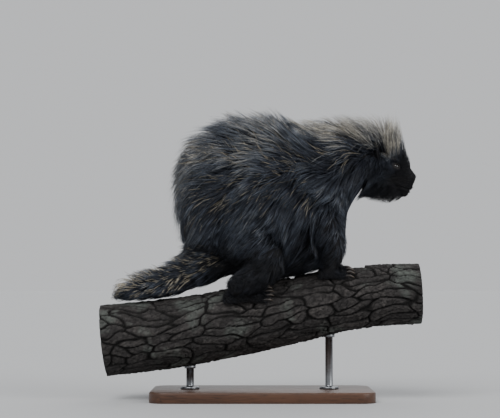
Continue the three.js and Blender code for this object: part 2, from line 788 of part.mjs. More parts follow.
function trunkNode(place) {
  const [pastShoulder, pastNape] = [SHOULDER, NAPE].map(
    ({ point, forward }) => place.clone().sub(point).dot(forward));
  if (pastShoulder < -CUT_MARGIN) return "torso";
  if (pastShoulder > CUT_MARGIN && pastNape < -CUT_MARGIN) return "neck";
  return pastNape > CUT_MARGIN ? "head" : "";
}

const locksOf = (part, sizes, accepts) => strandsOf(part, sizes, LOCK, accepts);

// Leg hair grows where a leg faces out, beyond this share of the way to the trunk's hair tips
const OUTER = { facing: -0.3, share: 0.93 };

const outerLocks = (part, sign) => locksOf(
  part, LOCKS.leg, (place, normal) =>
    sign * normal.y > OUTER.facing && torso.tips.project(place).ratio > OUTER.share);

function quillsOf(part, name) {
  const { facing, furthest } = QUILL_REACH[name];
  return strandsOf(
    part, QUILLS[name], QUILL, (place, normal) => normal.z > facing && place.x < furthest);
}

const trunkHair = [
  ...locksOf(torso, LOCKS.torso),
  ...locksOf(neck, LOCKS.neck),
  ...locksOf(head, LOCKS.head),
  ...quillsOf(torso, "torso"),
  ...quillsOf(neck, "neck"),
];
const hairOn = (node) => trunkHair.filter(({ place }) => trunkNode(place) === node);
const tailHair = [...locksOf(tail, LOCKS.tail), ...quillsOf(tail, "tail")];

// Each node gives way to those before it, and its hair to the cores of all others
const nodes = [
  { name: "stand_base", material: baseMaterial, core: baseSolid },
  { name: "perch_limb", material: barkMaterial, core: limbSolid },
  ...ROD.places.map((x, i) => ({
    name: ["stand_rod_rear", "stand_rod_front"][i], material: steelMaterial, core: () => rodSolid(x),
  })),
  ...sides.map(([side, sign]) => ({
    name: "eye_" + side, material: eyeMaterial, core: (grow) => eyeSolid(sign, grow),
  })),
  {
    name: "head", material: faceMaterial, hair: hairOn("head"),
    core: (grow) => between(grow, { ...NAPE, sign: 1 }),
  },
  {
    name: "neck", material: coatMaterial, hair: hairOn("neck"),
    core: (grow) => between(grow, { ...SHOULDER, sign: 1 }, { ...NAPE, sign: -1 }),
  },
  {
    name: "torso", material: coatMaterial, hair: hairOn("torso"),
    core: (grow) => between(grow, { ...SHOULDER, sign: -1 }),
  },
  ...sides.map(([side, sign]) => ({
    name: "ear_" + side, material: faceMaterial, core: (grow) => earSolid(sign, grow),
  })),
  {
    name: "tail", material: coatMaterial, hair: tailHair,
    core: (grow) => tail.core.solid(7, 12, grow),
  },
  ...legs.map(({ side, sign, foreLeg: part }) => ({
    name: "fore_leg_" + side, material: coatMaterial, hair: outerLocks(part, sign),
    core: (grow) => part.core.solid(6, 10, grow),
  })),
  ...legs.map(({ side, sign, thigh: upper, shank: lower }) => ({
    name: "hind_leg_" + side, material: coatMaterial,
    hair: [...outerLocks(upper, sign), ...outerLocks(lower, sign)],
    core: (grow) => union([upper.core.solid(5, 12, grow), lower.core.solid(4, 10, grow)]),
  })),
  ...sides.map(([side, sign]) => ({
    name: "fore_foot_" + side, material: footMaterial,
    core: (grow) => footSolid(FORE_FOOT, sign, grow),
  })),
  ...sides.map(([side, sign]) => ({
    name: "hind_foot_" + side, material: footMaterial,
    core: (grow) => footSolid(HIND_FOOT, sign, grow),
  })),
];

function cut(solid, cutters) {
  const near = cutters.filter((cutter) => !cutter.intersect(solid).isEmpty());
  return near.length ? solid.subtract(union(near)) : solid;
}

const grownCores = nodes.map(({ core }) => core(GAP));
const hairCutters = nodes.map(({ core }) => core(HAIR_GAP));
const earlierHair = [];

const porcupine = new THREE.Group();
porcupine.name = "porcupine_on_limb";
nodes.forEach(({ name, material, core, hair = [] }, i) => {
  let solid = cut(core(0), grownCores.slice(0, i));
  if (hair.length) {
    const others = hairCutters.filter((_, other) => other !== i);
    const grown = cut(union(hair.map((piece) => piece.solid(0))), [...others, ...earlierHair]);
    solid = union([solid, grown]);
  }
  const settled = settle(solid);
  porcupine.add(meshOf(name, settled, material));
  if (hair.length) earlierHair.push(settled, union(hair.map((piece) => piece.solid(GAP))));
});

export default porcupine;
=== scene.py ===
"""A still, life-size porcupine that sits hunched on a cut length of tree limb, on a stand.

The skin, the coat, the eyes, ears, claws and whiskers, the limb's bark and the stand are each
built by a class of their own. Lengths in rows and fields are in millimetres, as on a maker's
drawing, and turn into Blender's metres where a mesh is made. The head looks along +X and the
animal's right side is -Y.
"""
import logging
import math
from collections.abc import Callable, Sequence
from dataclasses import dataclass, field
from enum import Enum

import bmesh
import bpy
import numpy as np
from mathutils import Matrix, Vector
from mathutils.kdtree import KDTree


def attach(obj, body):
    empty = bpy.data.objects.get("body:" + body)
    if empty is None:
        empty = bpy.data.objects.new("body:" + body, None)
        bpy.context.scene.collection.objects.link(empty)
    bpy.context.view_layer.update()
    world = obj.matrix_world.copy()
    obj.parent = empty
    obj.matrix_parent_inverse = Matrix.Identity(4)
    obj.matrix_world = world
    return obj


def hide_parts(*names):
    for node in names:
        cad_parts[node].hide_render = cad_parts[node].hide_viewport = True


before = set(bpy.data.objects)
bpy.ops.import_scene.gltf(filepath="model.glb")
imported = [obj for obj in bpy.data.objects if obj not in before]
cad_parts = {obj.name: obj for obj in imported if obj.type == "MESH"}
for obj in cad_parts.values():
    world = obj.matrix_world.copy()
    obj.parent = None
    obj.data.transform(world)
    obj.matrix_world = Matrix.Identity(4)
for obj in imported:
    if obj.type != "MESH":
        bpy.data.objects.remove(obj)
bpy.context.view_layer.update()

LOG = logging.getLogger("porcupine")
Array = np.ndarray

MM = 0.001
TINY = 1e-9
SEAT = 232.0  # height of the limb's top under the hind feet
BODY = "root"


class Side(Enum):
    """The animal's own left and right, as signs along Y."""

    LEFT = 1
    RIGHT = -1

    @property
    def label(self) -> str:
        """The side's name as the pieces have it."""
        return self.name.lower()


class Layer(Enum):
    """A surface of the furred body."""

    SKIN = 0
    TIPS = 1


class Flow(Enum):
    """The ways in which hair lies, by the part of the body."""

    TRUNK = 0
    HEAD = 1
    TAIL = 2


# Numbers and vectors

def unit(vectors: Array) -> Array:
    """Vectors of the same directions and of length one."""
    return vectors / np.maximum(np.linalg.norm(vectors, axis=-1, keepdims=True), TINY)


def dot(a: Array, b: Array) -> Array:
    """Dot products of vectors, row by row."""
    return np.einsum("...i,...i->...", a, b)


def smooth_step(values: Array, low: float, high: float) -> Array:
    """An even rise from 0 at low to 1 at high, with soft ends."""
    t = np.clip((values - low) / (high - low), 0, 1)
    return t * t * (3 - 2 * t)


def lerp(a: Array, b: Array, t: Array) -> Array:
    """The value at share t of the way from a to b."""
    return a + (b - a) * t


def column(values: Array) -> Array:
    """Values as one column, to scale the rows of vectors."""
    return np.asarray(values)[..., None]


RIPPLE_WAVES = 9


def ripple(points: Array, wavelength: float, seed: int) -> Array:
    """Smooth seeded noise over space, mostly between -1 and 1.

    Args:
        points: Places in metres, one a row.
        wavelength: The size of the noise's swells, in millimetres.
        seed: Which noise it is.

    Returns:
        One value for each place.
    """
    random = np.random.default_rng(seed)
    directions = unit(random.normal(size=(RIPPLE_WAVES, 3)))
    lengths = wavelength * MM * random.uniform(0.6, 1.6, RIPPLE_WAVES)
    phases = random.uniform(0, 2 * math.pi, RIPPLE_WAVES)
    waves = np.sin(2 * math.pi * points @ (directions / column(lengths)).T + phases)
    return waves.sum(axis=-1) / math.sqrt(RIPPLE_WAVES)


def spline(knots: Array, t: Array) -> Array:
    """A smooth curve through knots.

    Args:
        knots: The values that it passes through, one row each.
        t: Shares of the way along it, from 0 to 1.

    Returns:
        One row of values for each share.
    """
    padded = np.vstack([2 * knots[0] - knots[1], knots, 2 * knots[-1] - knots[-2]])
    spans = len(knots) - 1
    position = np.clip(t, 0, 1) * spans
    span = np.minimum(position.astype(int), spans - 1)
    s = column(position - span)
    a, b, c, d = (padded[span + k] for k in range(4))
    return 0.5 * (2 * b + (c - a) * s + (2 * a - 5 * b + 4 * c - d) * s**2
                  + (3 * b - a - 3 * c + d) * s**3)


# Meshes

@dataclass
class Surface:
    """A mesh's points, in metres, and its faces as rows of three or four point numbers."""

    points: Array
    faces: Array

    @staticmethod
    def joined(surfaces: Sequence["Surface"]) -> "Surface":
        """Several surfaces of triangles as one."""
        starts = np.cumsum([0, *(len(s.points) for s in surfaces[:-1])])
        return Surface(
            np.vstack([s.points for s in surfaces]),
            np.vstack([s.faces + start for s, start in zip(surfaces, starts)]))


def tube_faces(rings: int, sides: int) -> Array:
    """Triangles of a tube of rings that is closed by one point at each end.

    Args:
        rings: How many rings lie between the two end points.
        sides: How many points each ring has.

    Returns:
        Rows of three point numbers. The first end point comes first, and the other one last.
    """
    k = np.arange(sides)
    following = (k + 1) % sides
    last = rings * sides + 1
    faces = [np.column_stack([np.zeros(sides, int), 1 + following, 1 + k])]
    for ring in range(rings - 1):
        low, high = 1 + ring * sides, 1 + (ring + 1) * sides
        faces.append(np.column_stack([low + k, low + following, high + following]))
        faces.append(np.column_stack([low + k, high + following, high + k]))
    top = 1 + (rings - 1) * sides
    faces.append(np.column_stack([top + k, top + following, np.full(sides, last)]))
    return np.vstack(faces)


def turned(profile: Sequence[Sequence[float]], sides: int, wide: float = 1.0) -> Surface:
    """A body turned about the Z axis, or pressed oval.

    Args:
        profile: Radius and height pairs in millimetres, from the axis and back to it.
        sides: How many sides it has around.
        wide: How far it is stretched along Y.

    Returns:
        The closed surface, in metres.
    """
    radii, heights = np.array(profile, float).T * MM
    angles = 2 * math.pi * np.arange(sides) / sides
    rings = np.stack([
        radii[1:-1, None] * np.cos(angles), radii[1:-1, None] * wide * np.sin(angles),
        np.broadcast_to(heights[1:-1, None], (len(radii) - 2, sides)),
    ], axis=-1).reshape(-1, 3)
    ends = [[0, 0, heights[0]], [0, 0, heights[-1]]]
    return Surface(np.vstack([ends[0], rings, ends[1]]), tube_faces(len(radii) - 2, sides))


def make_object(name: str, surface: Surface, finish: bpy.types.Material) -> bpy.types.Object:
    """A mesh object in the scene, smooth and with one finish.

    Args:
        name: The piece's name.
        surface: Its points and faces.
        finish: Its material.

    Returns:
        The new object.
    """
    mesh = bpy.data.meshes.new(name)
    faces = surface.faces
    mesh.vertices.add(len(surface.points))
    mesh.vertices.foreach_set("co", surface.points.astype(np.float32).ravel())
    mesh.loops.add(faces.size)
    mesh.loops.foreach_set("vertex_index", faces.astype(np.int32).ravel())
    mesh.polygons.add(len(faces))
    mesh.polygons.foreach_set(
        "loop_start", np.arange(0, faces.size, faces.shape[1], dtype=np.int32))
    mesh.update(calc_edges=True)
    mesh.shade_smooth()
    mesh.materials.append(finish)
    made = bpy.data.objects.new(name, mesh)
    bpy.context.collection.objects.link(made)
    return made


def read_surface(mesh: bpy.types.Mesh) -> Surface:
    """The points and faces of a Blender mesh, with its quads split in two."""
    mesh.calc_loop_triangles()
    points = np.empty(len(mesh.vertices) * 3, np.float32)
    mesh.vertices.foreach_get("co", points)
    corners = np.empty(len(mesh.loop_triangles) * 3, np.int32)
    mesh.loop_triangles.foreach_get("vertices", corners)
    return Surface(points.reshape(-1, 3).astype(float), corners.reshape(-1, 3))


def read_normals(mesh: bpy.types.Mesh) -> Array:
    """The way out at each point of a mesh."""
    normals = np.empty(len(mesh.vertices) * 3, np.float32)
    mesh.vertex_normals.foreach_get("vector", normals)
    return normals.reshape(-1, 3).astype(float)


def write_values(mesh: bpy.types.Mesh, name: str, values: Array) -> None:
    """Keeps a number or a vector for each point of a mesh, for its material to read."""
    kind, key = ("FLOAT", "value") if values.ndim == 1 else ("FLOAT_VECTOR", "vector")
    made = mesh.attributes.new(name, kind, "POINT")
    made.data.foreach_set(key, values.astype(np.float32).ravel())


def settle(piece: bpy.types.Object, slot: str, *nodes: str) -> bpy.types.Object:
    """Fixes a piece to the model.

    Args:
        piece: The finished piece.
        slot: Not used; it names the material slot of the record that its finish is.
        nodes: The solids that it stands for, if any.

    Returns:
        The same piece.
    """
    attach(piece, BODY)
    if nodes:
        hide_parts(*nodes)
    LOG.info("%s: %d faces", piece.name, len(piece.data.polygons))
    return piece


# Sweeps

class Sweep:
    """Oval sections along a bent line, closed by a dome at each end."""

    SAMPLES = 32
    DOME_SHARE = 0.14
    NUDGE = 1e-4

    def __init__(
            self, rows: Sequence[Sequence[float]], start: float = 0.0, end: float = 0.0,
            across: Sequence[float] = (0.0, 1.0, 0.0)) -> None:
        """Reads the sections.

        Args:
            rows: x, y, z, and the section's size up, down and to a side, in millimetres.
            start: How far the first dome stands out.
            end: How far the last dome stands out.
            across: The way across the line.
        """
        self.knots = np.array(rows, float) * MM
        self.start = start * MM
        self.end = end * MM
        self.across = np.array(across, float)
        self.first = self.DOME_SHARE if start > 0 else 0.0
        self.last = self.DOME_SHARE if end > 0 else 0.0
        self.stations = self.sections(np.linspace(0, 1, self.SAMPLES + 1))

    def sections(self, t: Array) -> Array:
        """Centre, sizes, and the ways along, to the side and up, at shares t of the line."""
        line = self.knots[:, :3]
        along = unit(spline(line, t + self.NUDGE) - spline(line, t - self.NUDGE))
        side = unit(self.across - along * column(along @ self.across))
        return np.hstack([spline(self.knots, t), along, side, np.cross(along, side)])

    def at(self, share: Array, angle: Array, grow: Array = 0.0) -> Array:
        """Places on the surface.

        Args:
            share: Shares of the whole length, domes included.
            angle: Angles from the top, in radians.
            grow: How far out from the surface, in metres.

        Returns:
            One place a row.
        """
        share = np.asarray(share, float)
        before = np.minimum(share / self.first - 1, 0) if self.first else 0 * share
        after = np.maximum((share - 1) / self.last + 1, 0) if self.last else 0 * share
        turn = (before + after) * math.pi / 2
        t = np.clip((share - self.first) / (1 - self.first - self.last), 0, 1)
        section = self.sections(t)
        centre, sizes, along, side, up = np.split(section, 5, axis=1)
        dome = np.where(turn < 0, self.start, self.end) + grow
        height = np.where(np.cos(angle) >= 0, sizes[:, 0], sizes[:, 1]) + grow
        return (centre + along * column(dome * np.sin(turn))
                + up * column(height * np.cos(angle) * np.cos(turn))
                + side * column((sizes[:, 2] + grow) * np.sin(angle) * np.cos(turn)))

    def project(self, points: Array) -> Array:
        """Where points lie against the surface.

        Args:
            points: Places, one a row.

        Returns:
            For each place, how far out it is as a share of the way to the surface, its share of
            the length, its angle, its section's centre, and the place on the surface.
        """
        def ahead(index: Array) -> Array:
            """How far points lie past a station."""
            return dot(points - self.stations[index, :3], self.stations[index, 6:9])

        low = np.zeros(len(points), int)
        high = np.full(len(points), self.SAMPLES)
        while np.any(high - low > 1):
            middle = (low + high) // 2
            past = ahead(middle) > 0
            low = np.where(past, middle, low)
            high = np.where(past, high, middle)
        behind, before = ahead(low), ahead(high)
        blend = np.clip(behind / (behind - before + TINY), 0, 1)
        section = lerp(self.stations[low], self.stations[high], column(blend))
        centre, sizes, _, side, up = np.split(section, 5, axis=1)
        offset = points - centre
        height = dot(offset, up)
        out = dot(offset, side)
        reach = np.where(height > 0, sizes[:, 0], sizes[:, 1])
        before_start = np.where((low == 0) & (behind < 0), behind / max(self.start, MM), 0)
        past_end = np.where(
            (high == self.SAMPLES) & (before > 0), before / max(self.end, MM), 0)
        ratio = np.sqrt((height / reach)**2 + (out / sizes[:, 2])**2
                        + before_start**2 + past_end**2)
        line = (low + blend) / self.SAMPLES
        share = self.first + line * (1 - self.first - self.last)
        share = share + self.first * np.maximum(before_start, -1)
        share = share + self.last * np.minimum(past_end, 1)
        surface = centre + offset / column(np.maximum(ratio, TINY))
        return np.hstack([np.column_stack([ratio, share, np.arctan2(out, height)]),
                          centre, surface])

    def tube(self, rings: int, sides: int, grow: float = 0.0) -> Surface:
        """The closed surface, as triangles, grown by some metres."""
        shares = np.linspace(0, 1, rings + 2)
        share, angle = np.meshgrid(
            shares[1:-1], 2 * math.pi * np.arange(sides) / sides, indexing="ij")
        body = self.at(share.ravel(), angle.ravel(), grow)
        ends = self.at(np.array([0.0, 1.0]), np.zeros(2), grow)
        return Surface(np.vstack([ends[:1], body, ends[1:]]), tube_faces(rings, sides))


def ball(centre: Array, radii: Sequence[float], axes: Array, sides: int = 24) -> Surface:
    """An egg-shaped closed surface.

    Args:
        centre: Its middle, in metres.
        radii: Its three half sizes, in millimetres.
        axes: Their directions, one a row.
        sides: How many sides it has around.

    Returns:
        The surface.
    """
    turns = np.linspace(0, math.pi, sides // 2 + 1)
    egg = turned([(math.sin(a) / MM, -math.cos(a) / MM) for a in turns], sides)
    return Surface(centre + (egg.points * np.array(radii) * MM) @ axes, egg.faces)


def spikes(
        points: Array, across: Array, half_widths: Array, half_depths: Array,
        sides: int = 3) -> tuple[Surface, int]:
    """Many closed, tapered, bent spikes, all with as many rings.

    Args:
        points: For each spike, the middle of each ring and then its tip.
        across: For each ring and tip, the way across the spike.
        half_widths: For each spike or for all, half the width of each ring, in metres.
        half_depths: The same for the depth.
        sides: How many sides a ring has.

    Returns:
        The surface of them all, and how many points one spike has.
    """
    count, rings = len(points), points.shape[1] - 1
    behind = points[:, np.maximum(np.arange(rings) - 1, 0)]
    along = unit(points[:, 1:] - behind)
    ways = across[:, :rings]
    side = unit(ways - along * column(dot(ways, along)))
    up = np.cross(along, side)
    angle = 2 * math.pi * np.arange(sides) / sides + math.pi / 2
    widths = np.broadcast_to(half_widths, (count, rings))[:, :, None, None]
    depths = np.broadcast_to(half_depths, (count, rings))[:, :, None, None]
    ring = (points[:, :-1, None] + side[:, :, None] * widths * np.cos(angle)[:, None]
            + up[:, :, None] * depths * np.sin(angle)[:, None])
    each = rings * sides + 1
    corners = np.concatenate([ring.reshape(count, -1, 3), points[:, -1:]], axis=1)
    k = np.arange(sides)
    following = (k + 1) % sides
    faces = [np.column_stack([np.zeros(sides - 2, int), k[2:], k[1:-1]])]
    for low in range(0, (rings - 1) * sides, sides):
        faces.append(np.column_stack([low + k, low + following, low + sides + following]))
        faces.append(np.column_stack([low + k, low + sides + following, low + sides + k]))
    top = (rings - 1) * sides
    faces.append(np.column_stack([top + k, top + following, np.full(sides, each - 1)]))
    shape = np.vstack(faces)
    all_faces = (np.arange(count)[:, None, None] * each + shape).reshape(-1, 3)
    return Surface(corners.reshape(-1, 3), all_faces), each


# The limb, and places on it

LIMB_ROWS = [
    (-330, 0, SEAT - 110, 72, 72, 72),
    (-180, 0, SEAT - 93, 71, 71, 71),
    (-46, 0, SEAT - 69, 69, 69, 69),
    (80, 0, SEAT - 43, 66.5, 66.5, 66.5),
    (170, 0, SEAT - 24, 64, 64, 64),
    (250, 0, SEAT - 14.5, 62.5, 62.5, 62.5),
    (330, 0, SEAT - 11, 61, 61, 61),
]
LIMB = Sweep(LIMB_ROWS)


def on_limb(x: float, angle: float, height: float) -> Array:
    """The place over the limb at x, an angle from its top and a height, in millimetres."""
    return place_on_limb(x, angle, height)[0]


def place_on_limb(x: float, angle: float, height: float) -> tuple[Array, float]:
    """A place over the limb, and the limb's radius there.

    Args:
        x: How far along the limb it is, in millimetres.
        angle: Its angle from the limb's top, in radians.
        height: How far it is from the limb's surface, in millimetres.

    Returns:
        The place in metres, and the radius in millimetres.
    """
    shares = np.linspace(0, 1, 400)
    sections = LIMB.sections(shares)
    share = np.interp(x * MM, sections[:, 0], shares)
    radius = np.interp(share, shares, sections[:, 3]) / MM
    return LIMB.at([share], np.array([angle]), height * MM)[0], float(radius)


# The body

@dataclass
class Head:
    """The head's own frame: its axis runs back and up from the nose."""

    nose: tuple[float, float, float] = (319.0, 0.0, SEAT + 223.0)
    pitch: float = math.radians(22)

    @property
    def axes(self) -> Array:
        """The ways forwards, to the left and up, one a row."""
        cosine, sine = math.cos(self.pitch), math.sin(self.pitch)
        return np.array([[cosine, 0, -sine], [0, 1, 0], [sine, 0, cosine]])

    def place(self, back: float, up: float, out: float) -> Array:
        """The place behind the nose, above the axis and out to the left, in metres."""
        return (np.array(self.nose) + np.array([-back, out, up]) @ self.axes) * MM

    def measure(self, points: Array) -> tuple[Array, Array, Array]:
        """How far points are behind the nose, above the axis and out, in millimetres."""
        ahead, out, up = ((points / MM - np.array(self.nose)) @ self.axes.T).T
        return -ahead, up, out


HEAD = Head()


@dataclass
class Part:
    """A length of the body: its skin, and the surface that the tips of its hair reach.

    Each row is x, y, height above the seat, the skin's size up, down and to a side, and the
    coat's depth above, below and beside.
    """

    name: str
    flow: Flow
    rows: Sequence[Sequence[float]]
    domes: tuple[float, float]
    coat_domes: tuple[float, float] = (0.0, 0.0)

    def __post_init__(self) -> None:
        """Makes the skin and the tips' surface."""
        self.surfaces = {Layer.SKIN: self.grown(0.0), Layer.TIPS: self.grown(1.0)}

    def grown(self, share: float) -> Sweep:
        """The sweep at a share of the coat's depth."""
        rows = [
            (x, y, SEAT + height, up + share * above, down + share * below,
             side + share * beside)
            for x, y, height, up, down, side, above, below, beside in self.rows]
        start, end = (d + share * c for d, c in zip(self.domes, self.coat_domes))
        return Sweep(rows, start, end)

    @property
    def skin(self) -> Sweep:
        """The skin's sweep."""
        return self.surfaces[Layer.SKIN]


def coated(rows: Sequence[Sequence[float]], top: float, bottom: float, side: float) -> list:
    """Rows with one depth of coat along the part."""
    return [(*row, top, bottom, side) for row in rows]


def thinning(rows: Sequence[Sequence[float]], depth: float) -> list:
    """Rows of a leg, whose coat thins out towards the foot."""
    return [(*row, *(3 * [depth * (1 - i / len(rows))])) for i, row in enumerate(rows)]


@dataclass
class Foot:
    """A foot that stands on the limb: its heel, ball, toe ends and claw ends along it."""

    name: str
    heel: float
    ball: float
    toe_end: float
    claw_end: float
    angle: float
    toes: int
    half_width: float
    depth: float
    toe_rise: float = 6.5

    def spot(self, side: Side, x: float, shift: float, height: float) -> Array:
        """A place on the foot, in metres, a shift of some millimetres outwards on the limb."""
        _, radius = place_on_limb(x, 0, 0)
        return on_limb(x, side.value * (self.angle + shift / radius), height)

    def across(self, side: Side) -> Array:
        """The way across the foot."""
        ends = [self.spot(side, self.ball, shift, 0) for shift in (-self.depth, self.depth)]
        return unit(ends[1] - ends[0]) * side.value

    def sole(self, side: Side) -> Sweep:
        """The foot from heel to ball."""
        rows = [
            (self.heel, self.depth - 1, 0.9, 0.78), ((self.heel + self.ball) / 2, self.depth, 1, 0.9),
            (self.ball, self.depth - 2, 0.82, 1)]
        return Sweep(
            [(*(self.spot(side, x, 0, height) / MM), thick * self.depth, self.depth,
              wide * self.half_width) for x, height, thick, wide in rows],
            8, 7, self.across(side))

    def toe_lines(self, side: Side, stops: Sequence[tuple[float, float, float]]) -> Array:
        """Lines of places along each toe.

        Args:
            side: Which foot it is.
            stops: For each place its x, how far the toes spread there, and its height.

        Returns:
            A line of places for each toe, in metres.
        """
        spread = 2 * self.half_width / self.toes
        lines = []
        for i in range(self.toes):
            place = i - (self.toes - 1) / 2
            reach = -1.4 * place * place
            lines.append([
                self.spot(side, x + reach, place * spread * splay, height)
                for x, splay, height in stops])
        return np.array(lines)


FEET = [
    Foot("fore_foot", 136, 165, 184, 200, 0.62, 4, 17, 10),
    Foot("hind_foot", -62, -4, 17, 35, 0.84, 5, 20, 11),
]


class Body:
    """The furred parts of the animal, from named sizes."""

    TORSO = [
        (-104, 0, 158, 112, 92, 68), (-70, 0, 164, 132, 120, 85), (-20, 0, 168, 138, 132, 96),
        (40, 0, 170, 136, 130, 95), (90, 0, 178, 124, 122, 87), (130, 0, 186, 108, 108, 72)]
    NECK = [
        (118, 0, 215, 82, 76, 70), (155, 0, 238, 60, 56, 60), (190, 0, 250, 50, 46, 50),
        (222, 0, 262, 42, 42, 42)]
    TAIL = [
        (-282, 0, -8, 13, 10, 18), (-235, 0, 0, 18, 14, 24), (-185, 0, 12, 23, 18, 28),
        (-140, 0, 32, 28, 24, 33), (-96, 0, 64, 34, 34, 36)]
    # Distance behind the nose, up, down, half width, and the coat's depth above, below, beside
    HEAD_SECTIONS = [
        (112, 32, 44, 36, 74, 26, 30), (94, 36, 46, 39, 76, 25, 24),
        (76, 38, 46, 38, 64, 24, 16), (58, 37, 44, 33, 42, 23, 9), (42, 33, 41, 28, 26, 22, 4),
        (26, 27, 37, 24, 14, 18, 2), (12, 20, 33, 20.5, 4, 9, 0), (4, 15, 27, 16.5, 0, 3, 0)]
    LEG_COAT = 15.0
    BLEND = 0.07

    HEAD_NUMBER, TAIL_NUMBER = 2, 3

    # The lie of the hair, as slopes down for each step back
    FACING_DOWN = (-0.92, 0.15)
    FACING_FORWARD = (0.15, 0.8)
    TOP_SLOPE, FLANK_SLOPE, CHEST_SLOPE = 0.12, 1.3, 1.2
    HEAD_BACK, CROWN_SLOPE, THROAT_SLOPE = 0.9, 0.5, -0.3
    TAIL_TOP_SLOPE, TAIL_SIDE_SLOPE = 0.15, 0.4

    def __init__(self) -> None:
        """Places every part."""
        head_rows = []
        for back, *sizes in self.HEAD_SECTIONS:
            x, y, z = HEAD.place(back, 0, 0) / MM
            head_rows.append((x, y, z - SEAT, *sizes))
        self.parts = [
            Part("torso", Flow.TRUNK, coated(self.TORSO, 66, 24, 50), (28, 32), (56, 12)),
            Part("neck", Flow.TRUNK, coated(self.NECK, 64, 18, 40), (20, 16), (20, 36)),
            Part("head", Flow.HEAD, head_rows, (14, 5), (44, 0)),
            Part("tail", Flow.TAIL, coated(self.TAIL, 26, 12, 26), (12, 20), (24, 20)),
        ]
        for side in Side:
            self.parts += self.leg_parts(side)
        self.flows = np.array([part.flow.value for part in self.parts])

    def leg_parts(self, side: Side) -> list[Part]:
        """The fore leg, thigh and shank of one side."""
        sign = side.value
        fore_foot, hind_foot = FEET
        wrist = on_limb(150, sign * fore_foot.angle, 13) / MM
        ankle = on_limb(-46, sign * hind_foot.angle, 33) / MM
        fore_rows = [
            (120, sign * 58, 170, 36, 34, 30), (130, sign * 64, 122, 29, 28, 25),
            (146, sign * 57, 84, 23, 23, 20), (wrist[0], wrist[1], wrist[2] - SEAT, 15, 16, 14)]
        thigh_rows = [
            (-56, sign * 56, 150, 62, 58, 38), (-14, sign * 71, 100, 54, 52, 31),
            (22, sign * 76, 62, 36, 36, 25)]
        shank_rows = [
            (22, sign * 75, 58, 28, 30, 23), (-14, sign * 73, 24, 25, 27, 21),
            (ankle[0], ankle[1], ankle[2] - SEAT, 17, 19, 16)]
        return [
            Part(f"fore_leg_{side.label}", Flow.TRUNK, thinning(fore_rows, self.LEG_COAT), (10, 8)),
            Part(f"thigh_{side.label}", Flow.TRUNK, thinning(thigh_rows, self.LEG_COAT), (20, 16)),
            Part(f"shank_{side.label}", Flow.TRUNK, thinning(shank_rows, self.LEG_COAT), (10, 9))]

    def project(self, points: Array, layer: Layer) -> tuple[Array, Array]:
        """The part that each place lies deepest in or nearest to.

        Args:
            points: Places, one a row.
            layer: The surface to look at.

        Returns:
            The part's number for each place, and what Sweep.project gives there.
        """
        best = self.parts[0].surfaces[layer].project(points)
        number = np.zeros(len(points), int)
        for i, part in enumerate(self.parts[1:], 1):
            found = part.surfaces[layer].project(points)
            nearer = found[:, 0] < best[:, 0]
            best = np.where(column(nearer), found, best)
            number = np.where(nearer, i, number)
        return number, best

    def coat_at(self, places: Array) -> tuple[Array, Array, Array]:
        """The coat over places on the skin, blended where parts of the body meet.

        Args:
            places: The places, one a row.

        Returns:
            The way out, the coat's depth in metres, and the weight there of each flow of hair.
        """
        found = np.stack([part.surfaces[Layer.TIPS].project(places) for part in self.parts])
        weights = np.exp((found[:, :, 0].min(axis=0) - found[:, :, 0]) / self.BLEND)
        weights /= weights.sum(axis=0)
        normals = unit(places - found[:, :, 3:6])
        depths = dot(found[:, :, 6:9] - places, normals)
        normal = unit(np.einsum("pn,pnk->nk", weights, normals))
        depth = np.maximum((weights * depths).sum(axis=0), 0)
        flows = np.stack([weights[self.flows == flow.value].sum(axis=0) for flow in Flow])
        return normal, depth, flows

    def lie(self, flows: Array, normals: Array) -> Array:
        """The way hair lies.

        Args:
            flows: The weight of each flow at each place.
            normals: The way out there.

        Returns:
            Directions along the surface, one a row.
        """
        hang = smooth_step(-normals[:, 2], *self.FACING_DOWN)
        front = smooth_step(normals[:, 0], *self.FACING_FORWARD)
        none = 0 * hang
        drop = lerp(self.TOP_SLOPE, self.FLANK_SLOPE, hang) + self.CHEST_SLOPE * front
        trunk = np.stack([front - 1, none, -drop], axis=1)
        head = np.stack([none - self.HEAD_BACK, none,
                         lerp(self.CROWN_SLOPE, self.THROAT_SLOPE, hang)], axis=1)
        tail = np.stack([none - 1, none,
                         -lerp(self.TAIL_TOP_SLOPE, self.TAIL_SIDE_SLOPE, hang)], axis=1)
        ways = np.einsum("fn,fnk->nk", flows, np.stack([trunk, head, tail]))
        return unit(ways - normals * column(dot(ways, normals)))


# Markings, which skin and coat share

def markings(numbers: Array, places: Array, normals: Array) -> Array:
    """How pale the hair's tips are at places on the skin, from 0 for black to 1 for straw.

    Args:
        numbers: The part of the body at each place.
        places: The places, in metres.
        normals: The way out there.

    Returns:
        One value for each place.
    """
    x, _, z = (places / MM).T
    # Paler on the top, the crest of the nape and the crown: partly the real pale-tipped hair there, partly
    # painted skylight on the top and painted backlight glow on the crest.
    top = smooth_step(normals[:, 2], 0.5, 0.98)
    rump = smooth_step(-x, 50, 130) * smooth_step(z, SEAT + 190, SEAT + 280)
    nape = smooth_step(x, 100, 210) * smooth_step(normals[:, 2], 0.3, 0.8)
    pale = 0.21 + 0.24 * top + 0.1 * rump + 0.3 * nape
    back, up, _ = HEAD.measure(places)
    on_head = numbers == Body.HEAD_NUMBER
    face = smooth_step(-back, -50, -34) * on_head
    crown = smooth_step(up, 12, 32)
    pale = np.where(on_head, 0.12 + 0.8 * crown, pale) * (1 - 0.97 * face)
    lower = lerp(0.15, 1, smooth_step(z, SEAT + 50, SEAT + 130))
    pale = pale * np.where(numbers == Body.TAIL_NUMBER, 1, lower)
    belly = smooth_step(-normals[:, 2], 0.3, 0.8)
    return np.clip(pale * (1 - 0.6 * belly) * (1 + 0.35 * ripple(places, 60, 4)), 0, 1)


# Finishes

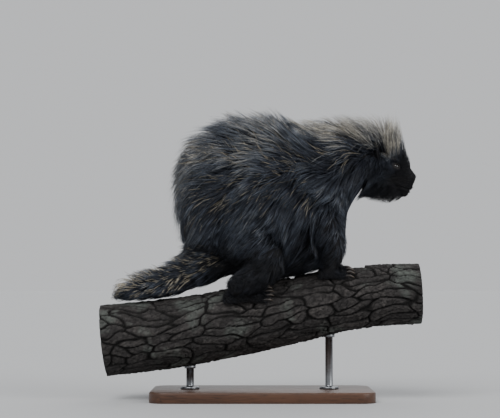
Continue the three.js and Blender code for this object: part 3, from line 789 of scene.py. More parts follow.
def tint(code: str) -> tuple[float, float, float, float]:
    """A colour as Blender's linear values, from its six hexadecimal digits."""
    shares = [int(code[i:i + 2], 16) / 255 for i in (0, 2, 4)]
    red, green, blue = ((c / 12.92 if c <= 0.04045 else ((c + 0.055) / 1.055)**2.4) for c in shares)
    return (red, green, blue, 1.0)


class Graph:
    """A material whose nodes are added one by one."""

    def __init__(self, name: str) -> None:
        """Starts from the main shader."""
        self.material = bpy.data.materials.new(name)
        self.material.use_nodes = True
        self.tree = self.material.node_tree
        self.shader = self.tree.nodes["Principled BSDF"]

    def node(self, kind: str, inputs: dict | None = None, **settings: object) -> bpy.types.Node:
        """Adds a node.

        Args:
            kind: Blender's name for it, without what they all start with.
            inputs: Sockets to link, or values to set, by input.
            settings: The node's own options.

        Returns:
            The node.
        """
        made = self.tree.nodes.new("ShaderNode" + kind)
        for key, value in settings.items():
            setattr(made, key, value)
        for key, value in (inputs or {}).items():
            self.put(made, key, value)
        return made

    def put(self, node: bpy.types.Node, key: str | int, value: object) -> None:
        """Links a socket to a node's input, or sets the input's value."""
        if isinstance(value, bpy.types.NodeSocket):
            self.tree.links.new(value, node.inputs[key])
        else:
            node.inputs[key].default_value = value

    def dress(self, **inputs: object) -> bpy.types.Material:
        """Sets the main shader's inputs, with _ for a space in their names."""
        for key, value in inputs.items():
            self.put(self.shader, key.replace("_", " "), value)
        return self.material

    def places(self, stretch: Sequence[float] = (1, 1, 1)) -> bpy.types.NodeSocket:
        """Coordinates in the object's own frame, stretched."""
        own = self.node("TexCoord").outputs["Object"]
        return self.node("Mapping", {"Vector": own, "Scale": stretch}).outputs[0]

    def noise(
            self, scale: float, detail: float = 4, vector: bpy.types.NodeSocket | None = None,
            roughness: float = 0.55) -> bpy.types.NodeSocket:
        """Cloudy noise around a half."""
        made = self.node(
            "TexNoise", {"Vector": vector or self.places(), "Scale": scale, "Detail": detail,
                         "Roughness": roughness})
        return made.outputs[0]

    def value(self, name: str, part: int | None = None) -> bpy.types.NodeSocket:
        """A number that the mesh keeps for each point, or a part of a vector."""
        kept = self.node("Attribute", attribute_name=name)
        if part is None:
            return kept.outputs["Fac"]
        return self.node("SeparateXYZ", {0: kept.outputs["Vector"]}).outputs[part]

    def math(self, operation: str, *values: object) -> bpy.types.NodeSocket:
        """The result of a sum or other operation."""
        return self.node("Math", dict(enumerate(values)), operation=operation).outputs[0]

    def ramp(
            self, factor: bpy.types.NodeSocket,
            stops: Sequence[tuple[float, str]]) -> bpy.types.NodeSocket:
        """Colours along a scale, as pairs of a place and a colour."""
        made = self.node("ValToRGB", {0: factor})
        elements = made.color_ramp.elements
        while len(elements) < len(stops):
            elements.new(1.0)
        for element, (place, code) in zip(elements, stops):
            element.position = place
            element.color = tint(code)
        return made.outputs[0]

    def mix(
            self, factor: object, first: object, second: object,
            blend: str = "MIX") -> bpy.types.NodeSocket:
        """Two colours mixed by a factor."""
        made = self.node("Mix", data_type="RGBA", blend_type=blend, clamp_factor=True)
        for index, value in ((0, factor), (6, first), (7, second)):
            self.put(made, index, tint(value) if isinstance(value, str) else value)
        return made.outputs[2]

    def span(
            self, value: object, low: float, high: float, start: float = 0.0,
            end: float = 1.0) -> bpy.types.NodeSocket:
        """A value moved from one range to another, and kept inside it."""
        return self.node("MapRange", {0: value, 1: low, 2: high, 3: start, 4: end}).outputs[0]

    def bump(
            self, height: object, distance: float,
            strength: float = 1.0) -> bpy.types.NodeSocket:
        """A normal from a height in shares of a distance in metres."""
        return self.node(
            "Bump", {"Height": height, "Distance": distance, "Strength": strength}).outputs[0]


@dataclass(frozen=True)
class HairFinish:
    """Guard hair: near black at the root, and slate to straw at the tip where it is pale."""

    name: str = "guard_hair"
    black: str = "101116"
    root: str = "121319"
    shaft: str = "30343e"
    # The slate's blue is partly painted bluish shade light, and partly the grey frosting of the tips.
    slate: str = "727d8c"
    straw: str = "b4aea0"

    def material(self) -> bpy.types.Material:
        """Builds the material."""
        graph = Graph(self.name)
        along, pale, chance = (graph.value("strand", part) for part in range(3))
        dark = graph.ramp(along, [(0.0, self.root), (0.5, self.shaft), (1.0, self.shaft)])
        dark = graph.mix(graph.span(pale, 0.02, 0.16), self.black, dark)
        # The pale tips are partly the hair's own frosting and partly painted light, for the glow of backlit
        # tips.
        tip = graph.mix(graph.span(pale, 0.25, 0.95), self.slate, self.straw)
        from_root = graph.math("SUBTRACT", 0.96, graph.math("MULTIPLY", pale, 0.5))
        shown = graph.math("MULTIPLY", graph.span(
            graph.math("SUBTRACT", along, from_root), -0.22, 0.2), graph.span(pale, 0.0, 0.35))
        colour = graph.mix(shown, dark, tip)
        shade = graph.span(chance, 0.0, 1.0, 0.55, 1.3)
        # Painted shade and light: cloudy patches darken the coat in its hollows and brighten it on its tufts,
        # on top of each strand's own random tone.
        patches = graph.span(graph.noise(52, 3), 0.36, 0.64, 0.68, 1.3)
        tone = graph.node("CombineColor", {
            i: graph.math("MULTIPLY", shade, patches) for i in range(3)}).outputs[0]
        colour = graph.mix(1.0, colour, tone, "MULTIPLY")
        return graph.dress(
            Base_Color=colour, Roughness=graph.span(graph.noise(300, 2), 0.3, 0.7, 0.38, 0.6),
            Specular_IOR_Level=0.32)


@dataclass(frozen=True)
class QuillFinish:
    """Quills: ivory shafts with a dark tip."""

    name: str = "quill_horn"
    shaft: str = "a89f8c"
    tip: str = "14110f"
    roughness: float = 0.38

    def material(self) -> bpy.types.Material:
        """Builds the material."""
        graph = Graph(self.name)
        along, _, chance = (graph.value("strand", part) for part in range(3))
        shaft = graph.ramp(along, [(0.0, "6f675a"), (0.35, self.shaft), (0.7, self.shaft), (0.86, self.tip)])
        shade = graph.span(chance, 0.0, 1.0, 0.55, 1.05)
        tone = graph.node("CombineColor", {i: shade for i in range(3)}).outputs[0]
        colour = graph.mix(1.0, shaft, tone, "MULTIPLY")
        return graph.dress(
            Base_Color=colour, Specular_IOR_Level=0.45,
            Roughness=graph.span(graph.noise(200, 2), 0.3, 0.7, 0.3, 0.5))


@dataclass(frozen=True)
class SkinFinish:
    """Skin under the coat, and the short black fur of the face and feet as bump."""

    name: str = "skin"
    dark: str = "08080a"
    worn: str = "121113"
    pale: str = "33343c"
    pad: str = "0f0d0e"

    def material(self) -> bpy.types.Material:
        """Builds the material."""
        graph = Graph(self.name)
        fur = graph.noise(900, 3, graph.places((0.25, 1, 1)))
        base = graph.mix(graph.span(graph.noise(60, 5), 0.35, 0.7), self.dark, self.worn)
        base = graph.mix(graph.math("MULTIPLY", graph.value("pale"), 0.5), base, self.pale)
        bare = graph.value("bare")
        grain = graph.node(
            "TexVoronoi", {"Vector": graph.places(), "Scale": 1300.0}).outputs["Distance"]
        colour = graph.mix(bare, base, self.pad)
        height = graph.node("Mix", {0: bare, 2: fur, 3: grain}).outputs[0]
        return graph.dress(
            Base_Color=colour, Normal=graph.bump(height, 0.0009, graph.span(bare, 0.0, 1.0, 0.9, 0.3)),
            Roughness=graph.span(bare, 0.0, 1.0, 0.78, 0.45), Specular_IOR_Level=0.25)


@dataclass(frozen=True)
class EyeFinish:
    """A dark wet eye: a black pupil in a brown iris."""

    name: str = "eye"

    def material(self) -> bpy.types.Material:
        """Builds the material."""
        graph = Graph(self.name)
        rays = graph.noise(900, 3)
        iris = graph.ramp(graph.value("from_front"), [
            (0.0, "020202"), (0.3, "020202"), (0.36, "1c100a"), (0.55, "120a07"), (0.62, "050404")])
        colour = graph.mix(graph.span(rays, 0.3, 0.7, 0.0, 0.5), iris, "0a0605")
        return graph.dress(
            Base_Color=colour, Roughness=0.09, Coat_Weight=0.4, Coat_Roughness=0.02,
            Specular_IOR_Level=0.35)


@dataclass(frozen=True)
class ClawFinish:
    """Dark horn with fine lengthwise grain, worn paler at the points."""

    name: str = "claw_horn"

    def material(self) -> bpy.types.Material:
        """Builds the material."""
        graph = Graph(self.name)
        along = graph.value("strand", 0)
        grain = graph.noise(500, 4, graph.places((0.15, 1, 1)))
        horn = graph.ramp(along, [(0.0, "1a1513"), (0.6, "2f2722"), (1.0, "5d5146")])
        colour = graph.mix(graph.span(grain, 0.35, 0.7, 0.0, 0.5), horn, "0f0c0b")
        return graph.dress(
            Base_Color=colour, Roughness=0.34, Specular_IOR_Level=0.5,
            Normal=graph.bump(grain, 0.0006, 0.6))


@dataclass(frozen=True)
class BarkFinish:
    """Furrowed grey-brown bark, darker in its cracks and with grey-green lichen on its ridges."""

    name: str = "bark"

    def material(self) -> bpy.types.Material:
        """Builds the material."""
        graph = Graph(self.name)
        height = graph.value("relief")
        fine = graph.noise(190, 9, graph.places((0.5, 1, 1)), 0.7)
        grit = graph.noise(700, 5, None, 0.6)
        base = graph.ramp(height, [
            (0.0, "0a0a0a"), (0.38, "191818"), (0.62, "2e2c2c"), (0.8, "403d3c"), (1.0, "5a5653")])
        colour = graph.mix(graph.span(fine, 0.38, 0.66, 0.0, 0.8), base, "191716")
        colour = graph.mix(graph.span(grit, 0.55, 0.75, 0.0, 0.35), colour, "5c5956")
        patches = graph.math(
            "MULTIPLY", graph.span(graph.noise(13, 6), 0.53, 0.64), graph.span(height, 0.45, 0.85))
        lichen = graph.mix(graph.noise(120, 5), "4c5652", "747a73")
        colour = graph.mix(graph.math("MULTIPLY", patches, 0.55), colour, lichen)
        rough = graph.math("ADD", fine, graph.math("MULTIPLY", grit, 0.35))
        return graph.dress(
            Base_Color=colour, Roughness=graph.span(fine, 0.3, 0.7, 0.82, 0.97),
            Specular_IOR_Level=0.2, Normal=graph.bump(rough, 0.004, 0.9))


@dataclass(frozen=True)
class CutWoodFinish:
    """The sawn end of the limb: growth rings, a darker heart, a dark rim where the bark meets it, and saw
    marks.
    """

    name: str = "cut_wood"

    def material(self) -> bpy.types.Material:
        """Builds the material."""
        graph = Graph(self.name)
        out = graph.math("ADD", graph.value("ring"), graph.math(
            "MULTIPLY", graph.noise(22, 3), 0.0045))
        wave = graph.math("SINE", graph.math("MULTIPLY", out, 2 * math.pi / 0.0032))
        rings = graph.span(wave, -1.0, 1.0)
        wood = graph.mix(rings, "7d6d58", "665643")
        wood = graph.mix(graph.span(out, 0.018, 0.04), "54463a", wood)
        wood = graph.mix(graph.span(graph.value("relief"), 0.885, 0.905), wood, "1f1a17")
        saw = graph.noise(420, 3, graph.places((1, 0.2, 1)))
        colour = graph.mix(graph.span(saw, 0.4, 0.75, 0.0, 0.45), wood, "3c2d21")
        return graph.dress(
            Base_Color=colour, Roughness=0.8, Specular_IOR_Level=0.25,
            Normal=graph.bump(graph.math("ADD", rings, saw), 0.0006, 0.6))


@dataclass(frozen=True)
class BoardFinish:
    """Oiled dark hardwood, with grain along the board."""

    name: str = "base_wood"

    def material(self) -> bpy.types.Material:
        """Builds the material."""
        graph = Graph(self.name)
        warp = graph.noise(3.5, 4, graph.places((0.25, 1, 1)))
        stretched = graph.places((0.12, 1.6, 1.6))
        grain = graph.node("TexNoise", {
            "Vector": stretched, "Scale": 130.0, "Detail": 8.0, "Distortion": 0.8}).outputs[0]
        pores = graph.noise(700, 3, graph.places((0.06, 1, 1)))
        wood = graph.mix(graph.span(grain, 0.35, 0.68), "24160f", "4a2f20")
        wood = graph.mix(graph.span(warp, 0.4, 0.65, 0.0, 0.6), wood, "5b3c29")
        colour = graph.mix(graph.span(pores, 0.55, 0.7, 0.0, 0.7), wood, "140c08")
        return graph.dress(
            Base_Color=colour, Roughness=graph.span(grain, 0.3, 0.7, 0.32, 0.46),
            Specular_IOR_Level=0.5, Normal=graph.bump(pores, 0.0004, 0.5))


@dataclass(frozen=True)
class SteelFinish:
    """Brushed steel rod, with fine turning marks."""

    name: str = "rod_steel"

    def material(self) -> bpy.types.Material:
        """Builds the material."""
        graph = Graph(self.name)
        marks = graph.noise(1500, 3, graph.places((0.05, 0.05, 1)))
        smudges = graph.noise(18, 4)
        colour = graph.mix(graph.span(smudges, 0.4, 0.7), "8b8d90", "6f7174")
        return graph.dress(
            Base_Color=colour, Metallic=1.0, Roughness=graph.span(marks, 0.3, 0.7, 0.24, 0.4),
            Normal=graph.bump(marks, 0.0002, 0.4))


@dataclass(frozen=True)
class FloorFinish:
    """A plain pale studio floor."""

    name: str = "studio_floor"

    def material(self) -> bpy.types.Material:
        """Builds the material."""
        graph = Graph(self.name)
        colour = graph.mix(graph.noise(2, 2), "b5b6b7", "b7b8b9")
        return graph.dress(Base_Color=colour, Roughness=0.9, Specular_IOR_Level=0.1)


# Eyes and ears

def off_line(start: Array, way: Array, points: Array) -> tuple[Array, Array]:
    """How places lie against a line.

    Args:
        start: Where the line starts.
        way: The way that it runs.
        points: The places, in metres.

    Returns:
        The way to each place from the line, and how far off the line it is. Places behind the
        line's start count as far off.
    """
    offset = points - start
    ahead = dot(offset, way)
    flat = offset - way * column(ahead)
    return unit(flat), np.where(ahead > 0, np.linalg.norm(flat, axis=-1), 1.0)


@dataclass
class Eyes:
    """Small dark eyes and the lids that hug them."""

    back: float = 48.0
    up: float = 13.0
    out: float = 23.0
    radius: float = 7.0
    opening: tuple[float, float] = (5.3, 4.1)
    turns: int = 48
    # How far outside the opening each ring of a lid is, and how far above the ball's edge there
    lid_rings: tuple[tuple[float, float], ...] = (
        (-0.5, -0.7), (0.0, 0.15), (0.45, 0.75), (1.2, 0.95), (2.3, 0.5), (4.2, -1.4),
        (7.0, -5.5), (4.0, -9.0))
    fold: float = 0.3

    def centre(self, side: Side) -> Array:
        """The middle of an eye's ball, in metres."""
        return HEAD.place(self.back, self.up, side.value * self.out)

    def facing(self, side: Side) -> Array:
        """The way that an eye looks."""
        return unit(HEAD.place(-2, 3, side.value * 10) - HEAD.place(0, 0, 0))

    def beside(self, side: Side, points: Array) -> tuple[Array, Array]:
        """The way to places from the line in which the eye looks, and how far off it they are."""
        return off_line(self.centre(side), self.facing(side), points)

    def build(self, eye: bpy.types.Material, skin: bpy.types.Material) -> None:
        """Makes both eyes and their lids."""
        for side in Side:
            centre, facing = self.centre(side), self.facing(side)
            along = unit(-HEAD.axes[0] + facing * dot(HEAD.axes[0], facing))
            above = np.cross(facing, along) * side.value
            surface = ball(centre, (self.radius,) * 3, np.array([along, np.cross(facing, along), facing]), 40)
            made = make_object(f"eye_ball_{side.label}", surface, eye)
            turn = np.arccos(np.clip(unit(surface.points - centre) @ facing, -1, 1)) / math.pi
            write_values(made.data, "from_front", turn * 2)
            settle(made, "eye", f"eye_{side.label}")
            self.make_lids(side, centre, np.array([along, above, facing]), skin)

    def make_lids(
            self, side: Side, centre: Array, axes: Array, skin: bpy.types.Material) -> None:
        """Makes the soft rim round one eye, as a closed ring that dives under the skin.

        Args:
            side: Which eye it is.
            centre: The ball's middle, in metres.
            axes: The ways along the slit, up and out, one a row.
            skin: The finish.
        """
        angle = 2 * math.pi * np.arange(self.turns) / self.turns
        wide, tall = self.opening
        flat = np.column_stack([wide * np.cos(angle), tall * np.sin(angle)])
        reach = np.linalg.norm(flat, axis=1)
        edge = np.sqrt(self.radius**2 - reach**2)
        rings = []
        for i, (extra, lift) in enumerate(self.lid_rings):
            heavy = 1 + 0.35 * np.sin(angle) + self.fold * (i % 2) * np.sin(3 * angle)
            lifted = edge + (lift * heavy if lift > 0 else lift)
            rings.append(np.column_stack([flat * column((reach + extra) / reach), lifted]))
        points = centre + np.stack(rings, axis=1).reshape(-1, 3) @ axes * MM
        around = len(self.lid_rings)
        k, j = np.meshgrid(np.arange(self.turns), np.arange(around), indexing="ij")
        next_k, next_j = (k + 1) % self.turns, (j + 1) % around
        faces = np.stack([k * around + j, k * around + next_j, next_k * around + next_j,
                          next_k * around + j], axis=-1).reshape(-1, 4)
        made = make_object(f"eyelids_{side.label}", Surface(points, faces[:, ::-side.value]), skin)
        write_values(made.data, "pale", np.zeros(len(points)))
        write_values(made.data, "bare", np.full(len(points), 0.7))
        settle(made, "face")


@dataclass
class Ears:
    """Small round cupped ears, mostly hidden in the coat."""

    back: float = 90.0
    up: float = 27.0
    out: float = 40.0
    height: float = 20.0
    half_width: float = 14.0
    depth: float = 7.0

    def centre(self, side: Side) -> Array:
        """The middle of an ear, in metres."""
        return HEAD.place(self.back, self.up, side.value * self.out)

    def shown(self, side: Side, points: Array) -> Array:
        """Whether places lie in front of an ear, seen from its side."""
        way = HEAD.axes[1] * side.value + HEAD.axes[0] * 0.25
        return off_line(self.centre(side), unit(way), points)[1] < self.half_width * MM

    def build(self, skin: bpy.types.Material) -> None:
        """Makes both ears."""
        rim = 0.96
        profile = [(0.0, -1.0), (0.35, -0.95), (0.65, -0.72), (0.88, -0.3), (1.0, 0.25),
                   (rim, 0.42), (0.84, 0.3), (0.72, -0.1), (0.5, -0.45), (0.25, -0.6), (0.0, -0.64)]
        shape = turned([(r / MM, h / MM) for r, h in profile], 40)
        for side in Side:
            sign = side.value
            forward = unit(HEAD.axes[0] * 0.75 + HEAD.axes[1] * sign * 0.62 + HEAD.axes[2] * 0.15)
            upward = unit(HEAD.axes[2] + HEAD.axes[1] * sign * 0.55)
            upward = unit(upward - forward * (upward @ forward))
            across = np.cross(upward, forward)
            sizes = np.array([self.height, self.half_width, self.depth]) * MM
            axes = np.array([upward, across, forward])
            if np.linalg.det(axes) < 0:
                axes[1] = -axes[1]
            points = self.centre(side) + (shape.points * sizes) @ axes
            made = make_object(f"ear_cup_{side.label}", Surface(points, shape.faces), skin)
            write_values(made.data, "pale", np.full(len(points), 0.1))
            write_values(made.data, "bare", np.zeros(len(points)))
            settle(made, "face", f"ear_{side.label}")


EYES = Eyes()
EARS = Ears()


# Skin

@dataclass
class Skin:
    """One skin over the whole animal, with the form of the face in it."""

    body: Body
    voxel: float = 2.8
    smoothing: int = 6
    face_smoothing: int = 3
    mouth_back: float = 36.0
    mouth_up: float = -18.7
    mouth_slope: float = -0.12
    object: bpy.types.Object | None = None
    surface: Surface | None = None
    normals: Array | None = None
    furless: Array | None = None

    def raw(self) -> Surface:
        """The overlapping closed forms that the skin is drawn over."""
        axes = HEAD.axes
        forms = [part.skin.tube(36, 48) for part in self.body.parts]
        forms += [
            ball(HEAD.place(12, -7, out), (13, 10, 13), axes) for out in (-9, 9)]
        forms.append(ball(HEAD.place(15, -29, 0), (13, 13, 9), axes))
        for foot in FEET:
            for side in Side:
                forms.append(foot.sole(side).tube(14, 24))
                lines = foot.toe_lines(side, [
                    (foot.ball - 6, 0.9, foot.toe_rise), (foot.ball + 6, 1.04, foot.toe_rise + 0.6),
                    (foot.toe_end - 2, 1.12, foot.toe_rise), (foot.toe_end + 5, 1.14, foot.toe_rise - 1)])
                across = np.broadcast_to(foot.across(side), lines.shape)
                toes, _ = spikes(
                    lines, across, np.array([4.8, 4.8, 4.0]) * MM, np.array([5.6, 5.4, 4.4]) * MM, 8)
                forms.append(toes)
        return Surface.joined(forms)

    def remesh(self, surface: Surface) -> bpy.types.Mesh:
        """One closed mesh over all forms, finer on the face and feet."""
        rough = make_object("skin_forms", surface, bpy.data.materials.new("forms"))
        wrap = rough.modifiers.new("wrap", "REMESH")
        wrap.mode = "VOXEL"
        wrap.voxel_size = self.voxel * MM
        depsgraph = bpy.context.evaluated_depsgraph_get()
        mesh = bpy.data.meshes.new_from_object(rough.evaluated_get(depsgraph))
        bpy.data.objects.remove(rough)
        self.relax(mesh, self.smoothing)
        self.refine(mesh)
        return mesh

    @staticmethod
    def relax(mesh: bpy.types.Mesh, rounds: int, weight: Array | float = 1.0) -> None:
        """Smooths a mesh by moving each point towards the middle of those it is joined to."""
        points = np.empty(len(mesh.vertices) * 3, np.float32)
        mesh.vertices.foreach_get("co", points)
        points = points.reshape(-1, 3).astype(float)
        ends = np.empty(len(mesh.edges) * 2, np.int32)
        mesh.edges.foreach_get("vertices", ends)
        first, second = ends.reshape(-1, 2).T
        both, others = np.concatenate([first, second]), np.concatenate([second, first])
        degree = np.maximum(np.bincount(both, minlength=len(points)), 1)
        for turn in range(2 * rounds):
            pull = 0.52 if turn % 2 == 0 else -0.53
            sums = np.column_stack([
                np.bincount(both, weights=points[others, k], minlength=len(points)) for k in range(3)])
            step = sums / column(degree) - points
            points = points + pull * step * column(np.broadcast_to(weight, len(points)))
        mesh.vertices.foreach_set("co", points.astype(np.float32).ravel())
        mesh.update()

    def refine(self, mesh: bpy.types.Mesh) -> None:
        """Splits the faces of the face and feet in four."""
        work = bmesh.new()
        work.from_mesh(mesh)
        points = np.array([edge.verts[0].co for edge in work.edges])
        back, _, _ = HEAD.measure(points)
        low = points[:, 2] < (SEAT + 24) * MM
        tail = points[:, 0] < -0.1
        fine = [edge for edge, wanted in zip(work.edges, (back < 72) | (low & ~tail)) if wanted]
        bmesh.ops.subdivide_edges(work, edges=fine, cuts=1, use_grid_fill=True)
        work.to_mesh(mesh)
        work.free()
        mesh.update()
        self.relax(mesh, self.face_smoothing)

    def shape_face(self, mesh: bpy.types.Mesh) -> None:
        """Presses the mouth, nostrils and folds into the face, and raises lips and brow."""
        surface = read_surface(mesh)
        normals = read_normals(mesh)
        back, up, out = HEAD.measure(surface.points)
        line = self.mouth_up + self.mouth_slope * back
        along_mouth = smooth_step(-back, -self.mouth_back - 3, -self.mouth_back + 6)
        off = up - line
        push = -2.8 * np.exp(-(off / 1.5)**2) * along_mouth
        push += 0.9 * np.exp(-((np.abs(off) - 3.6) / 2.2)**2) * along_mouth
        wings = np.hypot((up - 3.2) / 2.6, (np.abs(out) - 6.4 - 0.25 * back) / 2.0)
        near_front = smooth_step(-back, -9, -5)
        push -= 4.2 * np.exp(-wings**2) * near_front
        rim = np.hypot((up - 3.4) / 4.8, (np.abs(out) - 6.4 - 0.25 * back) / 4.0)
        push += 0.8 * np.exp(-((rim - 1) / 0.35)**2) * near_front
        philtrum = np.exp(-(out / 1.1)**2) * smooth_step(-up, -1, 4) * smooth_step(up, -14, -9)
        push -= 1.3 * philtrum * near_front
        folds = np.sin((back - 0.6 * up) * 0.9) * smooth_step(back, 6, 12) * smooth_step(-back, -30, -22)
        push += 0.25 * folds * smooth_step(-np.abs(up), -22, -12)
        points = surface.points + normals * column(push * MM)
        mesh.vertices.foreach_set("co", points.astype(np.float32).ravel())
        mesh.update()

    def build(self, finish: bpy.types.Material) -> bpy.types.Object:
        """Makes the skin.

        Args:
            finish: Its material.

        Returns:
            The piece.
        """
        mesh = self.remesh(self.raw())
        self.shape_face(mesh)
        mesh.name = "skin"
        mesh.materials.clear()
        mesh.materials.append(finish)
        mesh.shade_smooth()
        self.surface = read_surface(mesh)
        self.normals = read_normals(mesh)
        places = self.surface.points
        numbers, _ = self.body.project(places, Layer.SKIN)
        back, up, out = HEAD.measure(places)
        nose = smooth_step(-back, -8, -4) * smooth_step(up, -10, -7) * smooth_step(-up, -10, -7)
        nose = nose * smooth_step(-np.abs(out), -13, -10)
        soles = smooth_step(-self.normals[:, 2], 0.2, 0.6) * (places[:, 2] < (SEAT + 24) * MM)
        bare = np.clip(nose + soles, 0, 1)
        off_mouth = np.abs(up - self.mouth_up - self.mouth_slope * back)
        lips = smooth_step(-off_mouth, -2.6, -1.4) * smooth_step(-back, -self.mouth_back, -30)
        from_eye = np.sqrt((back - EYES.back)**2 + (up - EYES.up)**2 + (np.abs(out) - EYES.out)**2)
        self.furless = np.clip(bare + lips + smooth_step(-from_eye, -11, -9), 0, 1)
        write_values(mesh, "pale", markings(numbers, places, self.normals))
        write_values(mesh, "bare", bare)
        self.object = bpy.data.objects.new("skin", mesh)
        bpy.context.collection.objects.link(self.object)
        replaced = ["head", "neck", "torso", "tail"]
        for side in Side:
            replaced += [f"{part}_{side.label}" for part in (
                "fore_leg", "hind_leg", "fore_foot", "hind_foot")]
        return settle(self.object, "face", *replaced)


# The coat

@dataclass(frozen=True)
class HairStyle:
    """How one kind of hair grows over a part of the body.

    Density is in strands for each square centimetre. Fit is the share of the length that is left
    where there is next to no depth of coat, and locks are pairs of a spacing and how closely hair
    is drawn together at it.
    """

    name: str
    density: float
    length: float
    half_width: float
    rings: int = 5
    flatness: float = 0.6
    stand: float = 0.93
    stand_vary: float = 0.2
    length_vary: float = 0.2
    fit: float = 0.55
    full_depth: float = 41.0
    sway: float = 0.1
    drift: float = 0.3
    locks: tuple[tuple[float, float], ...] = ((25.0, 0.42), (13.0, 0.58), (5.5, 0.4))
    pale_vary: float = 0.3
    facing_up: float = -2.0
    least_depth: float = 4.0
    seed: int = 1


class Unwrap:
    """Lays the skin's parts out flat, each in a rectangle of its own length and girth."""

    MARGIN = 0.012
    PATCH = 0.003

    def __init__(self, parts: Sequence[Part]) -> None:
        """Packs the rectangles in shelves, tallest first."""
        sizes = [self.size(part) for part in parts]
        scale = 1.0
        while (placed := self.shelves(sizes, scale)) is None:
            scale *= 0.97
        self.corners = np.array(placed)
        self.sizes = np.array(sizes) * scale

    @staticmethod
    def size(part: Part) -> tuple[float, float]:
        """A part's length and girth, in metres times a half more."""
        sections = part.skin.stations
        length = np.linalg.norm(np.diff(sections[:, :3], axis=0), axis=1).sum()
        length += part.skin.start + part.skin.end
        girth = 2 * math.pi * sections[:, 3:6].mean()
        return 1.5 * length, 1.5 * girth

    def shelves(self, sizes: Sequence[tuple[float, float]], scale: float) -> list | None:
        """The rectangles' lower corners at a scale, or nothing if they don't fit."""
        order = sorted(range(len(sizes)), key=lambda i: -sizes[i][1])
        corners: list = [None] * len(sizes)
        x = y = self.MARGIN
        shelf = 0.0
        for i in order:
            width, height = (s * scale for s in sizes[i])
            if x + width > 1 - self.MARGIN:
                x, y, shelf = self.MARGIN, y + shelf + self.MARGIN, 0.0
            if y + height > 1 - self.MARGIN or x + width > 1 - self.MARGIN:
                return None
            corners[i] = (x, y)
            x += width + self.MARGIN
            shelf = max(shelf, height)
        return corners

    def patches(self, numbers: Array, shares: Array, angles: Array, within: Array) -> Array:
        """Map places of strands, each a small patch at its root's place.

        Args:
            numbers: The part of each root.
            shares: Its share of the part's length.
            angles: Its angle round the part.
            within: For each point of a strand, its place in the patch, from 0 to 1.

        Returns:
            For each strand and each of its points, the map's u and v.
        """
        flat = np.stack([shares, angles / (2 * math.pi) + 0.5], axis=1)
        roots = self.corners[numbers] + flat * self.sizes[numbers]
        return roots[:, None] + (within - 0.5) * self.PATCH


@dataclass
class Roots:
    """Where hair grows: places on the skin, their part, and their place on the unwrap."""

    places: Array
    numbers: Array
    shares: Array
    angles: Array

    def kept(self, chosen: Array) -> "Roots":
        """Some of the roots."""
        return Roots(
            self.places[chosen], self.numbers[chosen], self.shares[chosen], self.angles[chosen])


